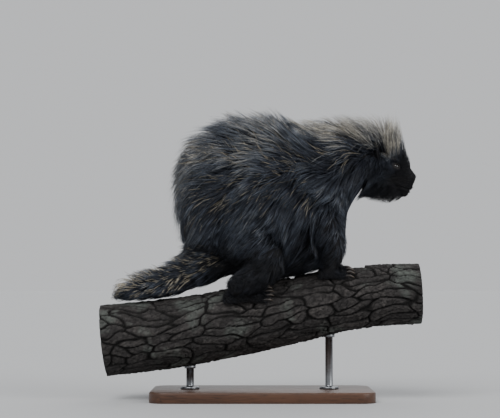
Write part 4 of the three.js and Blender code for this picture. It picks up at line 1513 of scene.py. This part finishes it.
@dataclass
class Coat:
    """The coat of long hair, quills and short fur, as joined meshes of closed strands."""

    body: Body
    skin: Skin
    unwrap: Unwrap
    sink: float = 7.0
    rise: float = 1.6
    upright: float = 0.35
    shag: float = 0.16
    shag_size: float = 26.0
    most_stand: float = 1.2
    streak: float = 0.35
    streak_size: float = 18.0
    steps: tuple[float, ...] = (0.0, 0.25, 0.5, 0.75, 1.0)
    taper: tuple[tuple[float, ...], tuple[float, ...]] = (
        (0.0, 0.25, 0.6, 0.85), (0.8, 1.0, 0.8, 0.45))
    short_sink: float = 0.4
    eye_clearing: float = 9.4
    eye_opening: float = 6.4
    ear_parting: float = 0.85
    limb_clearing: float = 1.045
    chest_front: float = 172.0
    chest_tuck: float = 0.6
    chest_parts: frozenset[str] = frozenset({"torso", "neck"})
    most_triangles: int = 190_000
    finishes: dict[str, bpy.types.Material] = field(default_factory=dict)
    pieces: list[bpy.types.Object] = field(default_factory=list)

    def scatter(self, number: int, style: HairStyle, random: np.random.Generator) -> Roots:
        """Spreads roots evenly over the skin of a part.

        Args:
            number: The part.
            style: The hair's style.
            random: The source of chance.

        Returns:
            The roots.
        """
        sweep = self.body.parts[number].skin
        shares, angles = np.linspace(0, 1, 41), np.linspace(-math.pi, math.pi, 49)
        share, angle = np.meshgrid(shares, angles, indexing="ij")
        grid = sweep.at(share.ravel(), angle.ravel()).reshape(*share.shape, 3)
        one, two = grid[1:, :-1] - grid[:-1, :-1], grid[:-1, 1:] - grid[:-1, :-1]
        area = np.linalg.norm(np.cross(one, two), axis=-1)
        count = int(area.sum() * 1e4 * style.density)
        cell = random.choice(area.size, count, p=(area / area.sum()).ravel())
        row, line = np.unravel_index(cell, area.shape)
        share = shares[row] + random.random(count) * (shares[1] - shares[0])
        angle = angles[line] + random.random(count) * (angles[1] - angles[0])
        places = sweep.at(share, angle)
        normal, depth, _ = self.body.coat_at(places)
        inside, _ = self.body.project(places - normal * MM, Layer.SKIN)
        kept = ((inside == number) & (depth > style.least_depth * MM)
                & (normal[:, 2] > style.facing_up) & self.clear_of_limb(places))
        return Roots(places, np.full(count, number), share, angle).kept(kept)

    @staticmethod
    def clear_of_limb(places: Array) -> Array:
        """Whether places are outside the limb."""
        return LIMB.project(places)[:, 0] > 1.0

    def grow(
            self, roots: Roots, style: HairStyle,
            random: np.random.Generator) -> tuple[Array, Array, Array]:
        """Walks every strand over the skin from its root, and lets it rise to the coat's tips.

        Args:
            roots: Where they start.
            style: Their style.
            random: The source of chance.

        Returns:
            For each strand its points, the way across it at each, and its share of full size.
        """
        count = len(roots.places)

        def vary(share: float) -> Array:
            """A factor for each strand around one."""
            return 1 + share * random.uniform(-1, 1, count)

        _, depth, _ = self.body.coat_at(roots.places)
        fit = lerp(style.fit, 1, np.minimum(depth / (style.full_depth * MM), 1))
        length = style.length * MM * fit * vary(style.length_vary)
        stand = style.stand * vary(style.stand_vary) * (
            1 + self.shag * ripple(roots.places, self.shag_size, style.seed + 50))
        stand = np.minimum(stand, self.most_stand)
        sway = random.normal(0, style.sway, count) + style.drift * ripple(roots.places, 60, style.seed)
        place = roots.places
        points, ways = [], []
        ahead = 1 / (len(self.steps) - 1)
        for step in self.steps:
            normal, depth, flows = self.body.coat_at(place)
            lie = self.body.lie(flows, normal)
            side = np.cross(normal, lie)
            height = depth * stand * (1 - (1 - step)**self.rise) - self.sink * MM * (1 - step)**3
            points.append(place + normal * column(height))
            ways.append(side)
            flat = np.sqrt(np.maximum(length**2 - depth**2, 0))
            reach = ahead * np.maximum(flat, self.upright * length)
            following = place + (lie + side * column(sway * (0.4 + step))) * column(reach)
            _, found = self.body.project(following, Layer.SKIN)
            place = found[:, 6:9]
        return np.stack(points, axis=1), np.stack(ways, axis=1), fit

    def part_round_eyes(self, points: Array) -> Array:
        """Moves the points of strands aside that would hang over an eye."""
        for side in Side:
            way, off = EYES.beside(side, points)
            points = points + way * column(np.maximum(self.eye_clearing * MM - off, 0))
        return points

    def over_eyes(self, points: Array) -> Array:
        """Whether each strand hangs over an eye."""
        middles = (points[:, 1:] + points[:, :-1]) / 2
        places = np.concatenate([points, middles], axis=1)
        over = [EYES.beside(side, places)[1] < self.eye_opening * MM for side in Side]
        return np.any(over, axis=(0, 2))

    def over_ears(self, points: Array, random: np.random.Generator) -> Array:
        """Whether each strand is one of many that would hide an ear."""
        over = np.any([EARS.shown(side, points) for side in Side], axis=(0, 2))
        return over & (random.random(len(points)) < self.ear_parting)

    @staticmethod
    def gathered(
            points: Array, roots: Array, style: HairStyle, random: np.random.Generator) -> Array:
        """Draws strands together into locks.

        Args:
            points: The strands' points.
            roots: Their roots.
            style: Their style.
            random: The source of chance.

        Returns:
            The moved points.
        """
        steps = np.linspace(0, 1, points.shape[1])
        for spacing, strength in style.locks:
            share = min(100.0 / (style.density * spacing**2), 1.0)
            guides = np.flatnonzero(random.random(len(points)) < share)
            if len(guides) < 2:
                continue
            tree = KDTree(len(guides))
            for i, place in enumerate(roots[guides]):
                tree.insert(place, i)
            tree.balance()
            nearest = guides[[tree.find(place)[1] for place in roots]]
            pull = strength * random.uniform(0.5, 1.0, len(points))
            weight = pull[:, None, None] * (steps**1.3)[None, :, None]
            points = points + (points[nearest] - points) * weight
        return points

    @staticmethod
    def rounded(values: Array, rings: int) -> Array:
        """Values along strands as smooth curves, read off at a number of rings and the tip."""
        middle = (values[:, :-2] + 2 * values[:, 1:-1] + values[:, 2:]) / 4
        values = np.concatenate([values[:, :1], middle, values[:, -1:]], axis=1)
        order = values.shape[1] - 1
        t = np.linspace(0, 1, rings + 1)
        weights = np.stack([
            math.comb(order, k) * t**k * (1 - t)**(order - k) for k in range(order + 1)])
        return np.einsum("kr,nki->nri", weights, values)

    def strands(
            self, name: str, roots: Roots, points: Array, ways: Array, style: HairStyle,
            fit: Array, pale: Array, random: np.random.Generator) -> None:
        """Makes the joined meshes of strands, each under the limit of triangles.

        Args:
            name: What the pieces' names start with.
            roots: The strands' roots.
            points: Their points.
            ways: The way across them at each point.
            style: Their style.
            fit: The share of the full width of each.
            pale: How pale the tip of each is.
            random: The source of chance.
        """
        rings = style.rings
        points = self.rounded(self.part_round_eyes(points), rings)
        kept = ~(self.over_eyes(points) | self.over_ears(points, random))
        points, ways, fit, pale = points[kept], self.rounded(ways, rings)[kept], fit[kept], pale[kept]
        roots = roots.kept(kept)
        steps = np.linspace(0, 1, rings + 1)
        roll = column(column(random.uniform(-0.5, 0.5, len(points))))
        along = unit(points[:, -1] - points[:, 0])[:, None]
        ways = ways + np.cross(along, ways) * roll
        width = style.half_width * MM * lerp(0.75, 1, fit) * random.uniform(0.75, 1.25, len(points))
        widths = column(width) * np.interp(steps[:-1], *self.taper)
        each_triangles = 6 * (rings - 1) + 4
        per_piece = self.most_triangles // each_triangles
        chance = random.random(len(points))
        pieces = max(1, math.ceil(len(points) / per_piece))
        order = np.argsort(roots.places[:, 0], kind="stable")
        for i, chosen in enumerate(np.array_split(order, pieces)):
            surface, each = spikes(
                points[chosen], ways[chosen], widths[chosen], widths[chosen] * style.flatness)
            label = name if pieces == 1 else f"{name}_{i + 1}"
            made = make_object(label, surface, self.finishes[style.name])
            step = np.append(np.repeat(steps[:-1], 3), 1.0)
            corner = np.append(np.tile([0.0, 0.5, 1.0], rings), 0.5)
            values = np.stack([
                np.broadcast_to(step, (len(chosen), each)),
                np.broadcast_to(column(pale[chosen]), (len(chosen), each)),
                np.broadcast_to(column(chance[chosen]), (len(chosen), each))], axis=-1)
            write_values(made.data, "strand", values.reshape(-1, 3))
            patch = self.unwrap.patches(
                roots.numbers[chosen], roots.shares[chosen], roots.angles[chosen],
                np.column_stack([corner, step]))
            layer = made.data.uv_layers.new(name="OFBake")
            layer.data.foreach_set(
                "uv", patch.reshape(-1, 2)[surface.faces.ravel()].astype(np.float32).ravel())
            self.pieces.append(settle(made, "quill" if style.name == "quill" else "coat"))

    def cover(self, part_names: Sequence[str], label: str, style: HairStyle) -> None:
        """Grows one style of long hair over some parts.

        Args:
            part_names: The parts.
            label: What the pieces are named after.
            style: The style.
        """
        random = np.random.default_rng(style.seed)
        names = [part.name for part in self.body.parts]
        found = [self.scatter(names.index(name), style, random) for name in part_names]
        roots = Roots(*(np.concatenate([getattr(r, key) for r in found]) for key in (
            "places", "numbers", "shares", "angles")))
        points, ways, fit = self.grow(roots, style, random)
        points = self.gathered(points, roots.places, style, random)
        if self.chest_parts & set(part_names):
            points = self.tucked(points)
        points = self.laid_on_limb(points)
        normal, _, _ = self.body.coat_at(roots.places)
        pale = markings(roots.numbers, roots.places, normal)
        streaks = 1 + self.streak * ripple(roots.places, self.streak_size, 12)
        pale = np.clip(pale * streaks * (1 + style.pale_vary * random.normal(size=len(pale))), 0, 1)
        self.strands(f"{label}_{style.name}", roots, points, ways, style, fit, pale, random)

    def tucked(self, points: Array) -> Array:
        """Draws hair that hangs ahead of the chest back towards it."""
        ahead = np.maximum(points[..., 0] - self.chest_front * MM, 0)
        low = smooth_step(-points[..., 2] / MM, -SEAT - 192, -SEAT - 164)
        moved = points.copy()
        moved[..., 0] -= self.chest_tuck * ahead * low
        return moved

    def laid_on_limb(self, points: Array) -> Array:
        """Moves the points of strands that would run into the limb out onto its bark."""
        found = LIMB.project(points.reshape(-1, 3))
        centre = found[:, 3:6].reshape(points.shape)
        grow = np.maximum(self.limb_clearing / np.maximum(found[:, 0], TINY), 1)
        return centre + (points - centre) * column(grow.reshape(points.shape[:2]))

    def short_fur(
            self, label: str, style: HairStyle, wanted: Array, size: Array,
            lie: Sequence[float]) -> None:
        """Grows short fur straight from the skin's faces.

        Args:
            label: What the piece is named after.
            style: The style, whose stand is the slope of the fur.
            wanted: A share of the full density at each point of the skin.
            size: A share of the full length at each point of the skin.
            lie: The way it lies.
        """
        random = np.random.default_rng(style.seed)
        surface, normals = self.skin.surface, self.skin.normals
        a, b, c = (surface.points[surface.faces[:, k]] for k in range(3))
        area = np.linalg.norm(np.cross(b - a, c - a), axis=1) / 2
        weight = area * wanted[surface.faces].mean(axis=1)
        count = int(weight.sum() * 1e4 * style.density)
        face = random.choice(len(area), count, p=weight / weight.sum())
        u, v = random.random((2, count))
        flip = u + v > 1
        u, v = np.where(flip, 1 - u, u), np.where(flip, 1 - v, v)
        corners = surface.faces[face]
        shares = np.column_stack([1 - u - v, u, v])
        places = np.einsum("nk,nkj->nj", shares, surface.points[corners])
        normal = unit(np.einsum("nk,nkj->nj", shares, normals[corners]))
        fit = dot(shares, size[corners])
        numbers, found = self.body.project(places, Layer.SKIN)
        roots = Roots(places, numbers, found[:, 1], found[:, 2])
        way = np.broadcast_to(lie, places.shape)
        way = unit(way - normal * column(dot(way, normal)) + random.normal(0, 0.14, (count, 3)))
        side = np.cross(normal, way)
        length = column(style.length * MM * fit * random.uniform(0.7, 1.3, count))
        points = np.stack([
            places - normal * self.short_sink * MM + length * (
                way * step + normal * style.stand * (step - 0.4 * step**2))
            for step in self.steps], axis=1)
        points = self.gathered(points, places, style, random)
        pale = markings(numbers, places, normal)
        ways = np.broadcast_to(side[:, None], points.shape)
        self.strands(f"{label}_{style.name}", roots, points, ways, style, fit, pale, random)

    def build(self) -> None:
        """Grows the whole coat."""
        hair = HairFinish().material()
        self.finishes = {
            "guard": hair, "under": hair, "awn": hair, "short": hair,
            "quill": QuillFinish().material()}
        for parts, style in COAT_PLAN:
            self.cover(parts, parts[0], style)
        for side in Side:
            legs = [f"{name}_{side.label}" for name in ("fore_leg", "thigh", "shank")]
            self.cover(legs, f"legs_{side.label}", HairStyle(
                "guard", 11, 44, 0.65, rings=4, stand=0.9, least_depth=2.5,
                locks=((11.0, 0.5),), seed=47 + side.value))
        self.build_face()
        self.build_feet()

    def build_face(self) -> None:
        """Grows the short fur of the face, longer towards the cheeks and brow."""
        back, _, _ = HEAD.measure(self.skin.surface.points)
        wanted = smooth_step(-back, -84, -70) * (1 - self.skin.furless)
        wanted = wanted * lerp(2.4, 1, smooth_step(back, 14, 50))
        size = lerp(0.22, 1, smooth_step(back, 6, 58))
        self.short_fur("face", HairStyle(
            "short", 105, 15, 0.25, rings=2, stand=0.5, fit=0.4, locks=((5.0, 0.35),), seed=51),
            wanted, size, -HEAD.axes[0] - 0.15 * HEAD.axes[2])

    def build_feet(self) -> None:
        """Grows the short fur of the feet."""
        points = self.skin.surface.points
        low = smooth_step(-points[:, 2] / MM, -SEAT - 40, -SEAT - 20)
        wanted = low * (1 - self.skin.furless) * (points[:, 0] / MM > -100)
        self.short_fur("feet", HairStyle(
            "short", 44, 10, 0.32, rings=2, stand=0.45, locks=((5.0, 0.4),), seed=53),
            wanted, np.ones(len(points)), (0.75, 0.0, -0.65))


COAT_PLAN = [
    (["torso"], HairStyle("guard", 8.5, 100, 0.8, rings=4, stand=0.94, seed=31)),
    (["torso"], HairStyle("under", 4.2, 66, 1.1, rings=3, stand=0.55, stand_vary=0.3, seed=33)),
    (["torso"], HairStyle("awn", 0.9, 118, 0.42, rings=5, stand=1.02, stand_vary=0.1, sway=0.2,
                          locks=(), facing_up=-0.2, seed=34)),
    (["torso"], HairStyle("quill", 1.4, 74, 0.75, rings=4, flatness=0.9, stand=0.8, sway=0.16,
                          locks=(), facing_up=0.05, seed=35)),
    (["neck"], HairStyle("guard", 12, 90, 0.7, stand=1.12, seed=37)),
    (["neck"], HairStyle("under", 4, 62, 1.0, rings=3, stand=0.6, stand_vary=0.3, seed=36)),
    (["neck"], HairStyle("awn", 2, 104, 0.4, rings=5, stand=1.16, stand_vary=0.08, sway=0.2,
                         locks=(), facing_up=0.0, seed=38)),
    (["neck"], HairStyle("quill", 1.6, 66, 0.65, rings=6, flatness=0.9, stand=0.85, locks=(),
                         facing_up=0.4, seed=39)),
    (["head"], HairStyle("guard", 34, 80, 0.42, rings=4, fit=0.12, full_depth=62, stand=1.12,
                         stand_vary=0.2, length_vary=0.25, sway=0.2, drift=0.2,
                         locks=((12.0, 0.25), (5.0, 0.25)), seed=41)),
    (["head"], HairStyle("awn", 6, 86, 0.3, rings=5, fit=0.12, full_depth=62, stand=1.16,
                         stand_vary=0.08, sway=0.25, locks=(), facing_up=0.1, seed=42)),
    (["tail"], HairStyle("guard", 11, 64, 0.75, rings=4, stand=0.85, seed=43)),
    (["tail"], HairStyle("quill", 3, 46, 0.75, rings=4, flatness=0.9, locks=(),
                         facing_up=-0.3, seed=45)),
]


# Claws and whiskers

@dataclass
class Claws:
    """Long curved claws, one on each toe."""

    widths: tuple[float, ...] = (2.6, 2.4, 2.0, 1.5, 0.9)
    depths: tuple[float, ...] = (3.2, 3.0, 2.4, 1.7, 1.0)
    sides: int = 10

    def build(self, finish: bpy.types.Material) -> None:
        """Makes the claws of each foot as one piece."""
        for foot in FEET:
            reach = foot.claw_end - foot.toe_end
            stops = [
                (foot.toe_end - 3, 1.12, 7.4), (foot.toe_end + 2, 1.14, 8.6),
                (foot.toe_end + reach * 0.35, 1.17, 8.7), (foot.toe_end + reach * 0.62, 1.2, 6.9),
                (foot.toe_end + reach * 0.84, 1.23, 4.0), (foot.claw_end, 1.25, 0.8)]
            for side in Side:
                lines = foot.toe_lines(side, stops)
                across = np.broadcast_to(foot.across(side), lines.shape)
                surface, each = spikes(
                    lines, across, np.array(self.widths) * MM, np.array(self.depths) * MM, self.sides)
                made = make_object(f"claws_{foot.name}_{side.label}", surface, finish)
                step = np.append(np.repeat(np.linspace(0, 1, len(self.widths)), self.sides), 1.0)
                values = np.column_stack([np.tile(step, foot.toes)] + 2 * [np.zeros(each * foot.toes)])
                write_values(made.data, "strand", values)
                settle(made, "claw")


@dataclass
class Whiskers:
    """Stiff black whiskers on both sides of the muzzle."""

    rows: int = 3
    each_row: int = 5
    length: float = 62.0
    radius: float = 0.28
    seed: int = 71

    def build(self, finish: bpy.types.Material) -> None:
        """Makes the whiskers of each side as one piece."""
        random = np.random.default_rng(self.seed)
        for side in Side:
            sign = side.value
            lines = []
            for row in range(self.rows):
                for i in range(self.each_row):
                    start = HEAD.place(9 + 4.5 * i, -1.5 - 4.2 * row, sign * (15.5 + 0.6 * i))
                    reach = self.length * MM * (0.55 + 0.09 * i) * random.uniform(0.85, 1.1)
                    out = unit(-HEAD.axes[0] * (0.35 + 0.12 * i) + HEAD.axes[1] * sign
                               - HEAD.axes[2] * (0.1 + 0.16 * row) + random.normal(0, 0.05, 3))
                    bend = -HEAD.axes[0] * 0.3 - np.array([0, 0, 0.32])
                    lines.append([start + out * reach * t + bend * reach * t * t
                                  for t in (-0.06, 0.25, 0.5, 0.78, 1.0)])
            lines = np.array(lines)
            across = np.broadcast_to(np.array([1.0, 0, 0]), lines.shape)
            sizes = np.array([1.0, 0.85, 0.6, 0.35]) * self.radius * MM
            surface, each = spikes(lines, across, sizes, sizes, 4)
            made = make_object(f"whiskers_{side.label}", surface, finish)
            write_values(made.data, "strand", np.zeros((each * len(lines), 3)))
            settle(made, "face")


# The limb and the stand

def cells(u: Array, v: Array, around: int, seed: int) -> tuple[Array, Array]:
    """Cellular noise on a sheet that closes on itself along u.

    Args:
        u: Places across the grain, in cells.
        v: Places along the grain, in cells.
        around: After how many cells u closes.
        seed: Which noise it is.

    Returns:
        The distance to a cell's edge, and a number from 0 to 1 for the cell.
    """
    random = np.random.default_rng(seed)
    table = random.random((around, 128, 3))
    near = np.full(u.shape, 9.0)
    second = np.full(u.shape, 9.0)
    chance = np.zeros(u.shape)
    base_u, base_v = np.floor(u).astype(int), np.floor(v).astype(int)
    for du in (-1, 0, 1):
        for dv in (-1, 0, 1):
            cell = table[(base_u + du) % around, (base_v + dv) % 128]
            distance = np.hypot(base_u + du + cell[..., 0] - u, base_v + dv + cell[..., 1] - v)
            nearer = distance < near
            second = np.where(nearer, near, np.minimum(second, distance))
            chance = np.where(nearer, cell[..., 2], chance)
            near = np.minimum(near, distance)
    return second - near, chance


@dataclass
class Bark:
    """The cut length of limb, with furrowed bark and sawn ends."""

    rings: int = 320
    sides: int = 216
    ridges_around: int = 21
    ridge_length: float = 68.0
    furrow: float = 5.5
    crack: float = 1.6
    end_rings: int = 12

    def relief(self, points: Array, angle: Array) -> Array:
        """The bark's height at places, in millimetres around the limb's own surface.

        Args:
            points: Places on the limb, in metres.
            angle: Their angles round it.

        Returns:
            One height for each.
        """
        x = points[:, 0] / MM
        turn = angle / (2 * math.pi)
        wander = 0.5 * ripple(points, 160, 5) + 0.1 * ripple(points, 45, 15)
        u = turn * self.ridges_around + wander
        v = x / self.ridge_length + 0.35 * ripple(points, 70, 6)
        edge, chance = cells(u, v, self.ridges_around, 61)
        ridge = smooth_step(edge, 0.01, 0.16)
        small, scale = cells(
            2 * u + 0.25 * ripple(points, 20, 9), v * self.ridge_length / 19, 2 * self.ridges_around, 62)
        cracks = smooth_step(small, 0.0, 0.16)
        rough = 0.35 * ripple(points, 9, 8) + 0.3 * ripple(points, 5.5, 18)
        height = self.furrow * (ridge - 0.8) + self.crack * (cracks - 0.6) * ridge
        return height + ridge * (1.2 * (chance - 0.5) + 1.7 * (scale - 0.5)) + rough

    def build(self, bark: bpy.types.Material, cut_wood: bpy.types.Material) -> bpy.types.Object:
        """Makes the limb.

        Args:
            bark: The finish of its sides.
            cut_wood: The finish of its ends.

        Returns:
            The piece.
        """
        share, angle = np.meshgrid(
            np.linspace(0, 1, self.rings), 2 * math.pi * np.arange(self.sides) / self.sides,
            indexing="ij")
        share, angle = share.ravel(), angle.ravel()
        plain = LIMB.at(share, angle)
        relief = self.relief(plain, angle)
        sides = LIMB.at(share, angle, relief * MM).reshape(self.rings, self.sides, 3)
        value = (relief - relief.min()) / (relief.max() - relief.min())
        ends = np.array([LIMB.stations[0, :3], LIMB.stations[-1, :3]])
        shares = np.linspace(0.985, 0.06, self.end_rings)[:, None, None]
        first, last = (end + (rim - end) * shares for end, rim in zip(ends, (sides[0], sides[-1])))
        grid = np.concatenate([first[::-1], sides, last])
        count = len(grid)
        all_points = np.vstack([ends[:1], grid.reshape(-1, 3), ends[1:]])
        faces = tube_faces(count, self.sides)
        made = make_object("limb_bark", Surface(all_points, faces), bark)
        made.data.materials.append(cut_wood)
        inner = self.end_rings * self.sides
        is_cut = np.zeros(len(all_points), bool)
        is_cut[:1 + inner] = True
        is_cut[-1 - inner:] = True
        slots = is_cut[faces].any(axis=1).astype(np.int32)
        made.data.polygons.foreach_set("material_index", slots)
        made.data.update()
        cut = np.repeat(shares.ravel(), self.sides)
        write_values(made.data, "relief", np.concatenate([[0], cut[::-1], value, cut, [0]]))
        axis = np.where(column(all_points[:, 0] < 0), ends[0], ends[1])
        write_values(made.data, "ring", np.linalg.norm(all_points - axis, axis=1))
        return settle(made, "bark", "perch_limb")


@dataclass
class Stand:
    """A flat wooden base and two steel rods up to the limb."""

    length: float = 460.0
    width: float = 250.0
    thickness: float = 22.0
    corner: float = 34.0
    edge: float = 3.0
    rod_radius: float = 8.0
    foot_radius: float = 20.0
    foot_height: float = 5.0
    rods: tuple[tuple[str, float], ...] = (("rear", -150.0), ("front", 140.0))
    gap: float = 0.35

    def base(self) -> Surface:
        """The board, with rounded corners and edges."""
        turns = np.radians(np.linspace(0, 90, 12))
        outline = []
        for quarter, (sx, sy) in enumerate([(1, 1), (-1, 1), (-1, -1), (1, -1)]):
            angle = turns + quarter * math.pi / 2
            middle = [sx * (self.length / 2 - self.corner), sy * (self.width / 2 - self.corner)]
            outline.append(np.column_stack([np.cos(angle), np.sin(angle)]) * self.corner + middle)
        rim = np.vstack(outline)
        inward = np.vstack([
            np.column_stack([np.cos(turns + q * math.pi / 2), np.sin(turns + q * math.pi / 2)])
            for q in range(4)])
        levels = [(self.edge * 0.3, 0.0), (0.0, self.edge * 0.3)]
        for a in np.radians(np.linspace(0, 90, 7)):
            levels.append((self.edge * (1 - math.cos(a)),
                           self.thickness - self.edge * (1 - math.sin(a))))
        rings = [np.column_stack([rim - inward * inset, np.full(len(rim), z)]) for inset, z in levels]
        bottom, top = [0, 0, 0], [0, 0, self.thickness]
        points = np.vstack([bottom, *rings, top]) * MM
        return Surface(points, tube_faces(len(rings), len(rim)))

    def rod(self, x: float) -> Surface:
        """A rod with a turned foot, and a collar under the limb."""
        bottom = self.thickness + self.gap
        centre, radius = place_on_limb(x, math.pi, 0)
        under = centre[2] / MM - bottom
        profile = [(0, 0), (self.foot_radius - 0.6, 0), (self.foot_radius, 0.6),
                   (self.foot_radius, self.foot_height - 1), (self.foot_radius - 1, self.foot_height)]
        fillet = 3.0
        for a in np.radians([0, 30, 60, 90]):
            profile.append((self.rod_radius + fillet * (1 - math.sin(a)),
                            self.foot_height + fillet * (1 - math.cos(a))))
        collar = self.rod_radius + 4
        profile += [
            (self.rod_radius, under - 9), (collar - 0.8, under - 9), (collar, under - 8.2),
            (collar, under - 1), (self.rod_radius, under), (self.rod_radius, under + radius * 0.6),
            (0, under + radius * 0.6)]
        made = turned(profile, 40)
        return Surface(made.points + np.array([x, 0, bottom]) * MM, made.faces)

    def build(self, wood: bpy.types.Material, steel: bpy.types.Material) -> None:
        """Makes the base and both rods."""
        settle(make_object("display_base", self.base(), wood), "base_wood", "stand_base")
        for name, x in self.rods:
            made = make_object(f"display_rod_{name}", self.rod(x), steel)
            settle(made, "rod_steel", f"stand_rod_{name}")


# Floor, lights and camera

@dataclass
class Studio:
    """A pale floor, soft lights, and a camera that looks from the animal's right side."""

    frame_width: float = 1050.0
    distance: float = 3200.0
    elevation: float = math.radians(-3)
    centre: tuple[float, float, float] = (-25.0, 0.0, 398.0)
    floor_size: float = 400.0
    backdrop: tuple[float, float, float] = (0.66, 0.67, 0.685)
    softness: float = math.radians(38)
    lamps: tuple[tuple[str, tuple[float, float, float], float], ...] = (
        ("key", (-0.9, -1.9, 2.3), 2.0), ("fill", (2.2, -1.6, 0.9), 1.5),
        ("rim", (0.5, 2.2, 2.0), 0.6))

    def build(self) -> None:
        """Makes the floor, world, lights and camera."""
        half = self.floor_size / 2
        corners = np.array([[-half, -half, 0], [half, -half, 0], [half, half, 0], [-half, half, 0]])
        floor = make_object("floor", Surface(corners, np.array([[0, 1, 2, 3]])), FloorFinish().material())
        world = bpy.data.worlds.new("studio")
        world.use_nodes = True
        world.node_tree.nodes["Background"].inputs[0].default_value = (*self.backdrop, 1.0)
        bpy.context.scene.world = world
        for name, way, strength in self.lamps:
            self.light(name, way, strength)
        self.camera()

    def light(self, name: str, way: Sequence[float], strength: float) -> None:
        """Adds a wide, soft and even lamp.

        Args:
            name: Its name.
            way: Where it stands, seen from the animal.
            strength: How bright it is.
        """
        lamp = bpy.data.lights.new(name, "SUN")
        lamp.angle = self.softness
        lamp.energy = strength
        made = bpy.data.objects.new(name, lamp)
        made.location = way
        made.rotation_euler = (-Vector(way)).to_track_quat("-Z", "Y").to_euler()
        bpy.context.collection.objects.link(made)

    def camera(self) -> None:
        """Adds the camera at the photograph's viewing angle."""
        lens = bpy.data.cameras.new("camera")
        lens.sensor_width = 36.0
        lens.lens = lens.sensor_width * self.distance / self.frame_width
        made = bpy.data.objects.new("camera", lens)
        target = Vector(self.centre) * MM
        back = Vector((0, -math.cos(self.elevation), math.sin(self.elevation)))
        made.location = target + back * self.distance * MM
        made.rotation_euler = (target - made.location).to_track_quat("-Z", "Y").to_euler()
        bpy.context.collection.objects.link(made)
        bpy.context.scene.camera = made


def main() -> None:
    """Builds every piece in order."""
    logging.basicConfig(level=logging.INFO, format="%(name)s: %(message)s")
    Studio().build()
    body = Body()
    skin = Skin(body)
    skin_finish = SkinFinish().material()
    skin.build(skin_finish)
    EARS.build(skin_finish)
    EYES.build(EyeFinish().material(), skin_finish)
    claw_finish = ClawFinish().material()
    Claws().build(claw_finish)
    Whiskers().build(claw_finish)
    Bark().build(BarkFinish().material(), CutWoodFinish().material())
    Stand().build(BoardFinish().material(), SteelFinish().material())
    Coat(body, skin, Unwrap(body.parts)).build()


if __name__ == "__main__":
    main()
